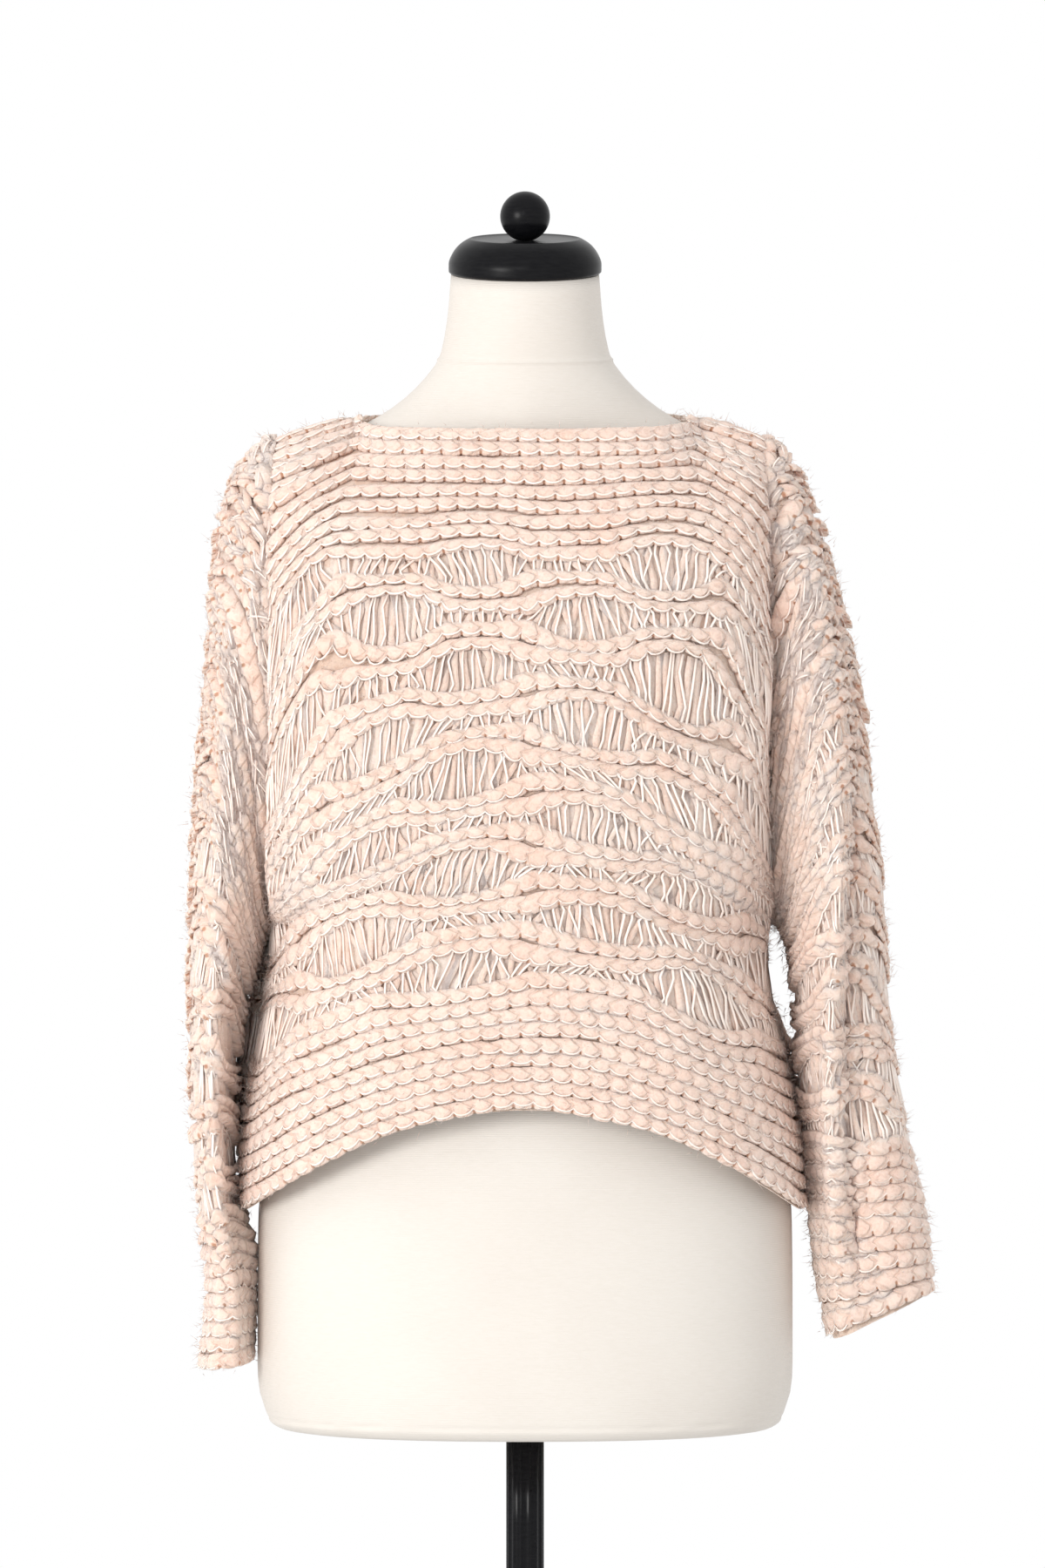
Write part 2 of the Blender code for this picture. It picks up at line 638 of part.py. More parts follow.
def main():
    clear_scene()
    knit = material("pink knit", (0.80, 0.62, 0.54), 0.95)
    jersey = material("cream jersey", (0.90, 0.84, 0.75), 0.85)
    wood = material("black lacquered wood", (0.012, 0.012, 0.013), 0.35)
    steel = material("black enamelled steel", (0.015, 0.016, 0.018), 0.25)

    make_panel("front", FRONT_MIDDLE, FRONT_TOP, -1, knit)
    make_panel("back", BACK_MIDDLE, BACK_TOP, 1, knit)
    make_sleeve("sleeve_right", "right", knit)
    make_sleeve("sleeve_left", "left", knit)

    close_rings("form_torso", form_rings(), jersey)
    cap_rise = SEAM_GAP
    close_rings("neck_cap", lean_onto_neck(turned(CAP_PROFILE, CAP_POINTS), cap_rise), wood)
    knob_rise = cap_rise + CAP_PROFILE[-1][1] + SEAM_GAP
    close_rings("neck_knob", lean_onto_neck(turned(knob_profile(), KNOB_POINTS), knob_rise), wood)
    close_rings("pole", pole_rings(), steel)
    close_rings("base", turned(BASE_PROFILE, BASE_POINTS), steel)


main()
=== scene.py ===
"""The looks of a bulky knit sweater on a limbless dress form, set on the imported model's frame.

The cloth is real yarn: each chain row is a soft pinched roll with a thin white cord along its
lower edge, loose stitches are jumbled at the tops of the sleeves, and long strands cross the
windows of the knit. The form, cap, knob, pole and base are finer than in the CAD.
"""

import math
from functools import partial

import bpy
import numpy as np
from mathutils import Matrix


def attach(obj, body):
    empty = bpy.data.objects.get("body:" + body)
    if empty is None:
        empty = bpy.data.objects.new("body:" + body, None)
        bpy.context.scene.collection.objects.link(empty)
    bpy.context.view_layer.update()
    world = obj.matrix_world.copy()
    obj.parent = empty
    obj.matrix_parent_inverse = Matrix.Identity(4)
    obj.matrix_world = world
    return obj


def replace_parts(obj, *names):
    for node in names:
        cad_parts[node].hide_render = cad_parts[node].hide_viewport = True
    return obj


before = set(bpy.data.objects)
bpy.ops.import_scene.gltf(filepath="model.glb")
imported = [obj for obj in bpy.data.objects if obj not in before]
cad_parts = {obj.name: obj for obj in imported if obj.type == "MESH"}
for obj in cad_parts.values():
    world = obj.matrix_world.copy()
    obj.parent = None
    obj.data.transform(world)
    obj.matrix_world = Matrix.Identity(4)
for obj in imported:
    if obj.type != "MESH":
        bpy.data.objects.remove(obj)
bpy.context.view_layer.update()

SEED = 20

# Cloth, as in the part's source
WALL = 0.0028
RIDGE_HEIGHT = 0.0032
THICKNESS = WALL + RIDGE_HEIGHT
SEAM_GAP = 0.0003
RIDGE_PITCH = 0.0094
WAVE_PITCH = 0.0321
WAVE_GAP = 0.0156
CLOSED_HALF = 0.0029
OPEN_HALF = 0.0101
LENS_PERIOD = 0.1474
LENS_HALF_WIDTH = 0.043
LENS_SHIFT = {"odd": -0.0393, "even": 0.0445}
WINDOW_UNEVEN = 0.14
SEAM_Y = 0.005
ARMHOLE_X = {"right": -0.170, "left": 0.162}
ARMHOLE_TOP_Z = {"right": 1.380, "left": 1.381}
UNDERARM_Z = {"right": 1.0525, "left": 1.0565}
ARMHOLE_HALF_DEPTH = {"right": 0.082, "left": 0.058}
HEM_SIDE_Z = 0.8665
UNDERARM_AT = 0.644
SHOULDER_REACH = 0.20
FLARE_POWER = 14
SLEEVE_SQUARENESS = 2.25
# How far a sleeve's ridges climb on its inner side: place of the ridge down it, climb
RIDGE_CLIMB = {
    "right": ((0, 0.25), (0.35, 0.25), (0.5, 0.25), (0.65, 0.17), (0.8, 0.06), (1, 0.00)),
    "left": ((0, 0.30), (0.35, 0.30), (0.5, 0.30), (0.65, 0.25), (0.8, 0.12), (1, 0.00)),
}
CLIMB_POWER = 1.3
# How far a panel's ridges drop toward its armholes: place of the ridge down it, drop
PANEL_DROP = ((0.0, 0.036), (0.20, 0.036), (0.45, 0.028), (0.65, 0.012), (0.80, 0.0), (1.0, 0.0))
CORNER_FROM = 0.62
# How much of the cloth's own rise over its middle a panel's ridges give up
CORNER_FLATTEN = 0.80
# Ridges above the first one: a panel's come out of the shoulder seam, and a sleeve's covers
# the armhole seam
PANEL_EXTRA = (0.0329, 0.0235, 0.0141, 0.0047)
SLEEVE_EXTRA = (0.0010,)
PANEL_PLAN = {"above": 9, "waves": 9, "below": 9}
SLEEVE_PLAN = {"above": 4, "waves": 15, "below": 10}

# Panels: height and depth of the inside along the middle, and how square the section is
FRONT_MIDDLE = (
    # z, y, squareness
    (1.3790, -0.0635, 2.0),
    (1.3440, -0.0810, 2.2),
    (1.2980, -0.1070, 2.4),
    (1.2286, -0.1345, 2.5),
    (1.1477, -0.1385, 2.5),
    (1.0550, -0.1320, 2.4),
    (0.9370, -0.1280, 2.6),
)
BACK_MIDDLE = (
    (1.4000, 0.0770, 2.0),
    (1.3440, 0.1000, 2.3),
    (1.2286, 0.1110, 2.5),
    (1.0550, 0.1170, 2.5),
    (0.9050, 0.1275, 2.6),
)
SHOULDER = (
    # x, y, z
    (0.111, 0.0050, 1.3890),
    (0.135, 0.0050, 1.3845),
    (0.150, 0.0050, 1.3797),
    (0.160, 0.0050, 1.3758),
)
FRONT_TOP = (
    (0.000, -0.0635, 1.3790),
    (0.040, -0.0615, 1.3790),
    (0.070, -0.0560, 1.3792),
    (0.088, -0.0470, 1.3800),
    (0.099, -0.0340, 1.3835),
    (0.106, -0.0140, 1.3880),
    *SHOULDER,
)
BACK_TOP = (
    (0.000, 0.0770, 1.4000),
    (0.040, 0.0755, 1.3995),
    (0.070, 0.0670, 1.3975),
    (0.088, 0.0540, 1.3950),
    (0.099, 0.0380, 1.3920),
    (0.106, 0.0200, 1.3898),
    *SHOULDER,
)
SIDE_SEAM = {
    "right": (
        # z, x, flare of the back
        (1.0525, -0.1700, 0.000),
        (1.0321, -0.1711, 0.009),
        (1.0090, -0.1740, 0.013),
        (0.9800, -0.1774, 0.016),
        (0.9512, -0.1832, 0.013),
        (0.9165, -0.1884, 0.008),
        (0.8876, -0.1902, 0.004),
        (0.8665, -0.1900, 0.001),
    ),
    "left": (
        (1.0565, 0.1620, 0.000),
        (1.0321, 0.1620, 0.003),
        (1.0090, 0.1645, 0.003),
        (0.9800, 0.1706, 0.006),
        (0.9512, 0.1762, 0.009),
        (0.9165, 0.1828, 0.006),
        (0.8876, 0.1864, 0.003),
        (0.8665, 0.1876, 0.001),
    ),
}
SLEEVE_SECTIONS = {
    "right": (
        # outer x, outer z, inner x, inner z, half depth, middle y, fold at
        (-0.1703, 1.3800, -0.1703, 1.0525, 0.0820, 0.005, 0.90),
        (-0.1838, 1.3674, -0.1722, 1.0512, 0.0840, 0.004, 0.86),
        (-0.1971, 1.3385, -0.1746, 1.0466, 0.0850, 0.003, 0.82),
        (-0.2040, 1.2960, -0.1780, 1.0379, 0.0850, 0.001, 0.78),
        (-0.2060, 1.2518, -0.1815, 1.0275, 0.0840, 0.000, 0.74),
        (-0.2098, 1.2055, -0.1855, 1.0148, 0.0825, -0.002, 0.70),
        (-0.2144, 1.1593, -0.1896, 1.0003, 0.0800, -0.004, 0.66),
        (-0.2191, 1.0668, -0.1948, 0.9668, 0.0735, -0.006, 0.60),
        (-0.2202, 0.9743, -0.1962, 0.9211, 0.0660, -0.008, 0.54),
        (-0.2170, 0.8960, -0.1942, 0.8700, 0.0590, -0.008, 0.50),
        (-0.2125, 0.8529, -0.1890, 0.8400, 0.0550, -0.007, 0.48),
        (-0.2098, 0.8183, -0.1838, 0.8107, 0.0520, -0.006, 0.46),
        (-0.2168, 0.7616, -0.1803, 0.7691, 0.0490, -0.005, 0.46),
    ),
    "left": (
        (0.1623, 1.3810, 0.1623, 1.0565, 0.0580, 0.005, 0.98),
        (0.1746, 1.3674, 0.1665, 1.0555, 0.0690, 0.004, 0.97),
        (0.1931, 1.3269, 0.1711, 1.0530, 0.0790, 0.002, 0.94),
        (0.2052, 1.2807, 0.1751, 1.0460, 0.0850, 0.000, 0.90),
        (0.2150, 1.2402, 0.1774, 1.0375, 0.0880, -0.002, 0.84),
        (0.2214, 1.2055, 0.1792, 1.0270, 0.0880, -0.004, 0.77),
        (0.2260, 1.1651, 0.1803, 1.0140, 0.0860, -0.006, 0.69),
        (0.2358, 1.0841, 0.1821, 0.9801, 0.0790, -0.008, 0.56),
        (0.2416, 0.9974, 0.1844, 0.9368, 0.0690, -0.009, 0.48),
        (0.2537, 0.9194, 0.1893, 0.8876, 0.0590, -0.008, 0.40),
        (0.2676, 0.8587, 0.1918, 0.8356, 0.0510, -0.006, 0.34),
        (0.2705, 0.8327, 0.1950, 0.8067, 0.0480, -0.005, 0.32),
        (0.2717, 0.8136, 0.2006, 0.7790, 0.0450, -0.004, 0.32),
    ),
}
FOLD_DEPTH = {"right": 0.06, "left": 0.24}
OUTER_LOBE = {"right": 0.03, "left": 0.26}
FOLD_WIDTH = 0.11
SIDES = {"right": -1, "left": 1}

# Dress form
FORM_SECTIONS = (
    # z, half width, front, back, middle y, lean in degrees, squareness
    *(
        (*row, 0.000, 0.0, 2.2)
        for row in (
            (0.7200, 0.1500, 0.0980, 0.1020),
            (0.7225, 0.1640, 0.1055, 0.1100),
            (0.7270, 0.1700, 0.1098, 0.1145),
            (0.7330, 0.1720, 0.1112, 0.1160),
            (0.7480, 0.1765, 0.1140, 0.1195),
            (0.7700, 0.1775, 0.1150, 0.1210),
            (0.8600, 0.1770, 0.1130, 0.1210),
            (0.9250, 0.1640, 0.1060, 0.1080),
            (1.0050, 0.1270, 0.0920, 0.0840),
            (1.0600, 0.1290, 0.1000, 0.0840),
            (1.1200, 0.1390, 0.1120, 0.0900),
            (1.1900, 0.1500, 0.1280, 0.0960),
            (1.2500, 0.1530, 0.1120, 0.1000),
        )
    ),
    (1.3050, 0.1550, 0.0900, 0.0970, 0.000, 0.0, 2.1),
    (1.3400, 0.1560, 0.0740, 0.0890, 0.000, 0.0, 1.9),
    (1.3575, 0.1510, 0.0620, 0.0790, 0.000, 0.0, 1.65),
    (1.3700, 0.1395, 0.0580, 0.0720, 0.000, 0.0, 1.55),
    (1.3795, 0.1228, 0.0560, 0.0690, 0.000, 1.0, 1.55),
    (1.3872, 0.1055, 0.0540, 0.0670, -0.002, 2.0, 1.6),
    (1.3990, 0.0860, 0.0515, 0.0640, -0.004, 3.0, 1.7),
    (1.4136, 0.0695, 0.0490, 0.0585, -0.006, 4.5, 1.9),
    (1.4295, 0.0575, 0.0470, 0.0550, -0.008, 6.0, 2.0),
    (1.4530, 0.0520, 0.0480, 0.0530, -0.011, 8.0, 2.0),
    (1.4850, 0.0490, 0.0490, 0.0500, -0.015, 9.5, 2.0),
)
# Heights where the form's cover has extra rings, for its turned-in edge and its neck seam
FORM_FINE = (
    *(0.7200 + 0.0011 * k for k in range(16)),
    *(1.4255 + 0.0008 * k for k in range(11)),
)
NECK_SEAM_Z = 1.4295
NECK_SEAM_HALF = 0.0011
NECK_SEAM_HEIGHT = 0.0009
HEM_FOLD_Z = 0.7290
HEM_FOLD_HALF = 0.0018
HEM_FOLD_DEPTH = 0.0016
CAP_PROFILE = (
    # radius, height
    (0.0485, 0.0000),
    (0.0506, 0.0020),
    (0.0506, 0.0065),
    (0.0485, 0.0130),
    (0.0440, 0.0190),
    (0.0385, 0.0228),
    (0.0360, 0.0238),
    (0.0345, 0.0232),
    (0.0200, 0.0226),
)
KNOB_RADIUS = 0.0165
KNOB_FOOT_RADIUS = 0.0060
POLE_RADIUS = 0.0125
POLE_FLUTES = 14
POLE_FLUTE_DEPTH = 0.0010
BASE_PROFILE = (
    (0.1690, 0.0000),
    (0.1720, 0.0035),
    (0.1715, 0.0085),
    (0.1670, 0.0120),
    (0.0600, 0.0150),
    (0.0340, 0.0180),
    (0.0250, 0.0240),
    (0.0220, 0.0400),
)

# Yarn: sizes of the stitches and how finely they are made
STITCH = 0.0129
SIZE_LIMITS = (0.70, 1.28)
HIGH_LIMIT = 1.1
CORD_RADIUS = 0.00078
# Rows: rolls with a pinch at each stitch's end
RIDGE_LIFT = 0.0034
ROLL_WIDE = 0.0056
ROLL_HIGH = 0.0030
ROLL_STEPS = 5
ROLL_SECTION = (-14, 28, 68, 112, 152, 194)
SHORTEST = 3
BELLY_POWER = 0.6
PUFF = 0.05
SIZE_DRIFT = 0.06
END_SIZE = 0.45
PINCH_WIDE = 0.13
PINCH_HIGH = 0.10
PINCH_CLIMB = 0.0010
PINCH_SINK = 0.0006
SWAY = 0.0006
UNTIDY_SWAY = 0.0012
LIFT_DRIFT = 0.0003
ROOT_DEPTH = 0.0018
# The cord on a roll: how far down its half width it lies, and how far out of its skin
CORD_LOW = 0.40
CORD_SCALLOP = 0.26
CORD_WANDER = 0.09
CORD_OUT = 0.0003
CORD_DIVE = 0.0008
# Loose stitches: two strands that meet, from and to as shares of a stitch, with a cord on one
UNTIDY = {"right": 1.0, "left": 0.7}
UNTIDY_FROM = 0.60
LOOSE_SHARE = 0.55
LOOSE_LIFT = 0.0008
STRAND_FROM, STRAND_TO = -0.60, 0.76
STRAND_APART = 0.0027
STRAND_WIDE = 0.0033
STRAND_HIGH = 0.0028
STRAND_CLOSING = 0.80
STRAND_TILT = 0.0038
STRAND_BOUNCE = 0.0008
LOOSE_CORD_FROM, LOOSE_CORD_TO = -0.56, 0.70
LOOSE_CORD_DIP = 0.0020
# Strands across the windows
LEG_LIFT = 0.0024
LEG_WIDE = 0.0030
LEG_HIGH = 0.0017
LEG_SPREAD = 0.30
LEG_LEAN = 0.30
LEG_CORD_LIFT = 0.0017
LEG_CORD_WIDE = 1.25
WINDOW_KEEP = 0.012
# Backing: a sheet under the stitches, painted as shade where it shows between them and painted
# paler as light in the windows
GROUND_LIFT = 0.0004
GROUND_THICKNESS = 0.0012
WINDOW_MARGIN = 0.0032
WINDOW_OPEN = 0.0185
# Where rows begin and end, and where a middle row fits between two
SLEEVE_START_LIFT = 0.0040
SLEEVE_START_REACH = 0.06
MIDDLE_ROOM = 0.0062
NO_ROOM_SET = 9.0
EDGE_KEEP = {"panel": 0.004, "tube": -0.004}
# Loose fibres
HAIRS = {"front": 9500, "back": 7000, "sleeve_right": 7500, "sleeve_left": 8500}
HAIR_SPLAY = 0.85
HAIR_OUT = 0.0022
HAIR_LEAST = 0.0012
HAIR_RADII = (0.00018, 0.00034)

# The long crease down the front of each sleeve, with a soft roll beside it
CREASE_PATH = {
    # place down, place across
    "right": ((0.0, 0.10), (0.3, 0.17), (0.5, 0.23), (0.8, 0.25), (1.0, 0.25)),
    "left": ((0.0, 0.06), (0.3, 0.13), (0.5, 0.235), (0.65, 0.27), (0.8, 0.295), (1.0, 0.30)),
}
CREASE_DEPTH = {"right": 0.0022, "left": 0.0095}
CREASE_HALF = 0.0070
CREASE_ROLL_AT = 0.020
CREASE_ROLL_HALF = 0.012
CREASE_ROLL_SHARE = 0.6
CREASE_FADE = 0.12
CREASE_UNTIL = 0.86

# Soft folds: place down and across the piece, turn in degrees, half length, half width, height
FOLDS = {
    "front": (
        (0.30, 0.12, 38, 0.055, 0.010, 0.0032),
        (0.37, 0.90, -42, 0.060, 0.011, 0.0036),
        (0.55, 0.08, 62, 0.070, 0.012, 0.0034),
        (0.62, 0.93, -66, 0.080, 0.011, 0.0040),
        (0.74, 0.30, 80, 0.060, 0.016, 0.0022),
        (0.80, 0.71, -78, 0.070, 0.015, 0.0026),
        (0.90, 0.01, 90, 0.080, 0.012, 0.0024),
        (0.92, 0.99, 90, 0.050, 0.012, 0.0024),
    ),
    "back": (
        (0.26, 0.16, -36, 0.060, 0.012, 0.0034),
        (0.33, 0.86, 40, 0.050, 0.010, 0.0030),
        (0.52, 0.32, -70, 0.090, 0.014, 0.0030),
        (0.58, 0.66, 74, 0.080, 0.016, 0.0034),
        (0.76, 0.10, -60, 0.060, 0.012, 0.0034),
        (0.78, 0.90, 58, 0.070, 0.012, 0.0036),
    ),
    "sleeve_right": (
        (0.30, 0.20, 50, 0.050, 0.009, 0.0034),
        (0.42, 0.33, 28, 0.045, 0.008, 0.0036),
        (0.56, 0.15, -24, 0.040, 0.009, 0.0030),
        (0.70, 0.30, 16, 0.040, 0.008, 0.0034),
        (0.84, 0.10, -14, 0.045, 0.007, 0.0030),
        (0.38, 0.72, -40, 0.050, 0.009, 0.0034),
        (0.62, 0.80, 22, 0.045, 0.009, 0.0030),
        (0.80, 0.66, -18, 0.040, 0.008, 0.0032),
        (0.60, 0.50, 90, 0.150, 0.018, 0.0064),
        (0.38, 0.50, 90, 0.060, 0.016, 0.0036),
        (0.74, 0.50, 90, 0.030, 0.018, 0.0022),
        (0.41, 0.410, 90, 0.080, 0.022, -0.0105),
        (0.86, 0.00, 90, 0.070, 0.022, 0.0032),
        (0.84, 0.50, 90, 0.030, 0.020, 0.0100),
        (0.92, 0.50, 90, 0.038, 0.020, 0.0034),
    ),
    "sleeve_left": (
        (0.26, 0.22, -64, 0.055, 0.009, 0.0036),
        (0.44, 0.30, -34, 0.050, 0.009, 0.0040),
        (0.52, 0.12, 12, 0.045, 0.008, 0.0034),
        (0.66, 0.26, -20, 0.045, 0.009, 0.0036),
        (0.80, 0.14, 10, 0.050, 0.008, 0.0032),
        (0.90, 0.30, -8, 0.045, 0.007, 0.0030),
        (0.36, 0.76, 44, 0.050, 0.010, 0.0034),
        (0.58, 0.68, -26, 0.045, 0.009, 0.0032),
        (0.78, 0.82, 16, 0.045, 0.008, 0.0032),
        (0.82, 0.50, 90, 0.060, 0.016, 0.0040),
        (0.56, 0.50, 90, 0.100, 0.016, 0.0034),
    ),
}

# Yarn colours, each from light to dark
YARN_TONES = ((0.912, 0.728, 0.638), (0.898, 0.690, 0.596), (0.870, 0.638, 0.538))
# The backing is painted darker than the yarn, as painted shade in the gaps between the stitches
BACKING_SHADE_TONES = ((0.890, 0.675, 0.565), (0.865, 0.635, 0.525), (0.830, 0.585, 0.470))
# The fuzzy haze across the windows is painted paler than the yarn, as painted light scattered
# through the knit
WINDOW_HAZE_AND_LIGHT_TONES = ((0.950, 0.785, 0.695), (0.940, 0.760, 0.665), (0.915, 0.715, 0.610))
# Painted shade for the creases at the stitches' ends, and a painted shadow spot under each end,
# where the hole between stitches lies in shade
CREASE_SHADE_COLOUR = (0.78, 0.53, 0.42)
DOT_SHADOW_COLOUR = (0.52, 0.27, 0.17)
# How far light scatters in the yarn by colour: nearly evenly, so that thin strands stay warm
YARN_SCATTER = (1.0, 0.85, 0.72)

# Camera
CAMERA_DISTANCE = 5.0
CAMERA_HEIGHT = 1.148
CAMERA_SIDE = -0.0017
FRAME_HEIGHT = 1.0404
SENSOR_HEIGHT = 36.0
FLOOR_RADIUS = 2.6
FLOOR_THICKNESS = 0.004


# Curves and surfaces, the same as in the part's source


def smooth(at, knots, values):
    """A curve through the values with no overshoot between them."""
    knots = np.asarray(knots, float)
    values = np.asarray(values, float)
    steps = np.diff(knots)
    slopes = np.diff(values) / steps
    tangents = np.concatenate([slopes[:1], (slopes[1:] + slopes[:-1]) / 2, slopes[-1:]])
    turns = slopes[1:] * slopes[:-1] <= 0
    tangents[1:-1][turns] = 0
    limit = 3 * np.minimum(np.abs(slopes[1:]), np.abs(slopes[:-1]))
    tangents[1:-1] = np.clip(tangents[1:-1], -limit, limit)
    at = np.clip(at, knots[0], knots[-1])
    cell = np.clip(np.searchsorted(knots, at, side="right") - 1, 0, len(steps) - 1)
    t = (at - knots[cell]) / steps[cell]
    start, end = values[cell], values[cell + 1]
    bend_in, bend_out = tangents[cell] * steps[cell], tangents[cell + 1] * steps[cell]
    between_ends = start * (1 + 2 * t) * (1 - t) ** 2 + end * t * t * (3 - 2 * t)
    return between_ends + bend_in * t * (1 - t) ** 2 - bend_out * t * t * (1 - t)


def ease(t):
    t = np.clip(t, 0, 1)
    return t * t * (3 - 2 * t)


def column(table, index):
    return [row[index] for row in table]


def curve(at, rows, index=1):
    """A table's smooth curve: its first column is where, and the one asked for is how much."""
    return smooth(at, column(rows, 0), column(rows, index))


def signed_power(values, power):
    return np.sign(values) * np.abs(values) ** power


def run_lengths(points):
    """Lengths along a line of points, from 0."""
    return np.concatenate([[0], np.cumsum(np.linalg.norm(np.diff(points, axis=0), axis=1))])


def along_curve(points, count):
    """The curve at evenly spaced lengths."""
    lengths = run_lengths(points)
    wanted = np.linspace(0, lengths[-1], count)
    return np.stack([np.interp(wanted, lengths, points[:, k]) for k in range(3)], axis=1)


def armhole_edge(side, toward, part):
    angle = np.pi * part
    half = (ARMHOLE_TOP_Z[side] - UNDERARM_Z[side]) / 2 - THICKNESS
    middle = (ARMHOLE_TOP_Z[side] + UNDERARM_Z[side]) / 2
    depth = ARMHOLE_HALF_DEPTH[side] - THICKNESS
    round_out = np.abs(np.sin(angle)) ** (2 / SLEEVE_SQUARENESS)
    upright = signed_power(np.cos(angle), 2 / SLEEVE_SQUARENESS)
    inset = SEAM_GAP + THICKNESS * ease(part / 0.25)
    x = ARMHOLE_X[side] - SIDES[side] * inset
    return np.array([x, SEAM_Y + toward * depth * round_out, middle + half * upright])


def side_edge(side, part):
    top = UNDERARM_Z[side] + THICKNESS
    z = top + (HEM_SIDE_Z - top) * part
    x = curve(z, SIDE_SEAM[side][::-1])
    return np.array([x - SIDES[side] * (THICKNESS + SEAM_GAP), SEAM_Y, z])


def panel_edge(side, toward, v):
    if v < UNDERARM_AT:
        return armhole_edge(side, toward, v / UNDERARM_AT)
    return side_edge(side, (v - UNDERARM_AT) / (1 - UNDERARM_AT))


def half_row(middle, side, toward, v, count):
    """Half of a row of the panel, from its middle to one edge, at evenly spaced lengths."""
    heights = column(middle, 0)
    at = [(heights[0] - z) / (heights[0] - heights[-1]) for z in heights]
    z_middle = heights[0] + (heights[-1] - heights[0]) * v
    y_middle = smooth(v, at, column(middle, 1))
    power = 2 / smooth(v, at, column(middle, 2))
    edge = panel_edge(side, toward, v)
    angle = np.linspace(0, np.pi / 2, 61)
    out = np.sin(angle) ** power
    forward = np.abs(np.cos(angle)) ** power
    y = edge[1] + (y_middle - edge[1]) * forward
    z = z_middle + (edge[2] - z_middle) * out**2
    points = np.stack([edge[0] * out, y, z], axis=1)
    if toward > 0:
        flare = curve(edge[2], SIDE_SEAM[side][::-1], 2)
        behind_seam = np.sin(angle) ** FLARE_POWER * np.cos(angle)
        points[:, 0] += SIDES[side] * flare * behind_seam / behind_seam.max()
    return along_curve(points, count)


def half_top(top, side, count):
    end = armhole_edge(side, 0, 0.0)
    points = [(SIDES[side] * x, y, z) for x, y, z in top if x < abs(end[0])]
    points = np.array([*points, tuple(end)])
    return along_curve(points, count)


def panel_surface(middle, top, toward, rows=161, columns=61):
    """The inside of a panel as a grid: row 0 is its top edge, column 0 its wearer's right edge."""
    halves = []
    down = np.linspace(0, 1, rows)
    for side in SIDES:
        base = np.array([half_row(middle, side, toward, v, columns) for v in down])
        lift = half_top(top, side, columns) - base[0]
        fade = 1 - ease(down / SHOULDER_REACH)
        halves.append(base + fade[:, None, None] * lift)
    return np.concatenate([halves[0][:, :0:-1], halves[1]], axis=1)


def sleeve_surface(side, inset=0.0, rows=161, columns=121):
    """A sleeve as a grid: row 0 is the armhole, and rows run from the outer end over the front."""
    table = SLEEVE_SECTIONS[side]
    lengths = run_lengths(np.array([row[:2] for row in table]))
    at = lengths / lengths[-1]
    v = np.linspace(0, 1, rows)
    values = (smooth(v, at, column(table, k))[:, None] for k in range(7))
    ox, oz, ix, iz, depth, middle, fold = values
    angle = np.linspace(0, 2 * np.pi, columns)[None, :]
    across = signed_power(np.cos(angle), 2 / SLEEVE_SQUARENESS)
    around = signed_power(np.sin(angle), 2 / SLEEVE_SQUARENESS)
    reach = np.hypot(ox - ix, oz - iz) / 2 - inset
    unit_x, unit_z = (ox - ix) / 2 / (reach + inset), (oz - iz) / 2 / (reach + inset)
    place = (1 + across) / 2
    start = ease(v / 0.08)[:, None]
    crease = FOLD_DEPTH[side] * np.exp(-(((place - fold) / FOLD_WIDTH) ** 2))
    lobe = OUTER_LOBE[side] * ease((place - fold) / 0.15)
    shrink = np.where(around > 0, 1 - start * (crease + lobe), 1.0)
    x = (ox + ix) / 2 + unit_x * reach * across
    y = middle - (depth - inset) * around * shrink
    z = (oz + iz) / 2 + unit_z * reach * across
    return np.stack([x, y, z], axis=2)


def lens(distance):
    """How far a window is open at this distance from its middle."""
    wrapped = (distance + LENS_PERIOD / 2) % LENS_PERIOD - LENS_PERIOD / 2
    return np.clip(1 - (wrapped / LENS_HALF_WIDTH) ** 2, 0, 1)


def wave_half(row, across):
    """Half height of a row of windows, across the cloth."""
    shift = LENS_SHIFT["even" if row % 2 else "odd"]
    size = 1 + WINDOW_UNEVEN * np.sin(2.3 * row + 21 * across)
    return CLOSED_HALF + OPEN_HALF * size * lens(across - shift)


def ridge_lines(plan, across):
    """Places of the ridges down the cloth from 0 to 1, which have windows, and its length."""
    above, waves, below = plan["above"], plan["waves"], plan["below"]
    wave_top = above * RIDGE_PITCH
    centres = [wave_top + WAVE_GAP / 2 + row * WAVE_PITCH for row in range(waves)]
    total = centres[-1] + WAVE_GAP / 2 + below * RIDGE_PITCH
    crests = []
    window_under = {}
    first_shift = centres[0] - wave_half(0, across) - wave_top
    for k in range(above):
        share = (k + 0.5) / above
        crests.append(wave_top * share + first_shift * share**3)
    for row in range(waves - 1):
        window_under[len(crests) - 1] = row
        top = centres[row] + wave_half(row, across)
        bottom = centres[row + 1] - wave_half(row + 1, across)
        inward = np.minimum((bottom - top) * 0.25, RIDGE_PITCH / 2)
        crests += [top + inward, bottom - inward]
    window_under[len(crests) - 1] = waves - 1
    last_top = centres[-1] + WAVE_GAP / 2
    last_shift = centres[-1] + wave_half(waves - 1, across) - last_top
    for k in range(below):
        share = (k + 0.5) / below
        crests.append(last_top + below * RIDGE_PITCH * share + last_shift * (1 - share) ** 3)
    return np.array(crests) / total, window_under, total


def normals_of(grid):
    return unit(np.cross(np.gradient(grid, axis=1), np.gradient(grid, axis=0)))


def unit(vectors):
    return vectors / np.maximum(np.linalg.norm(vectors, axis=-1, keepdims=True), 1e-12)


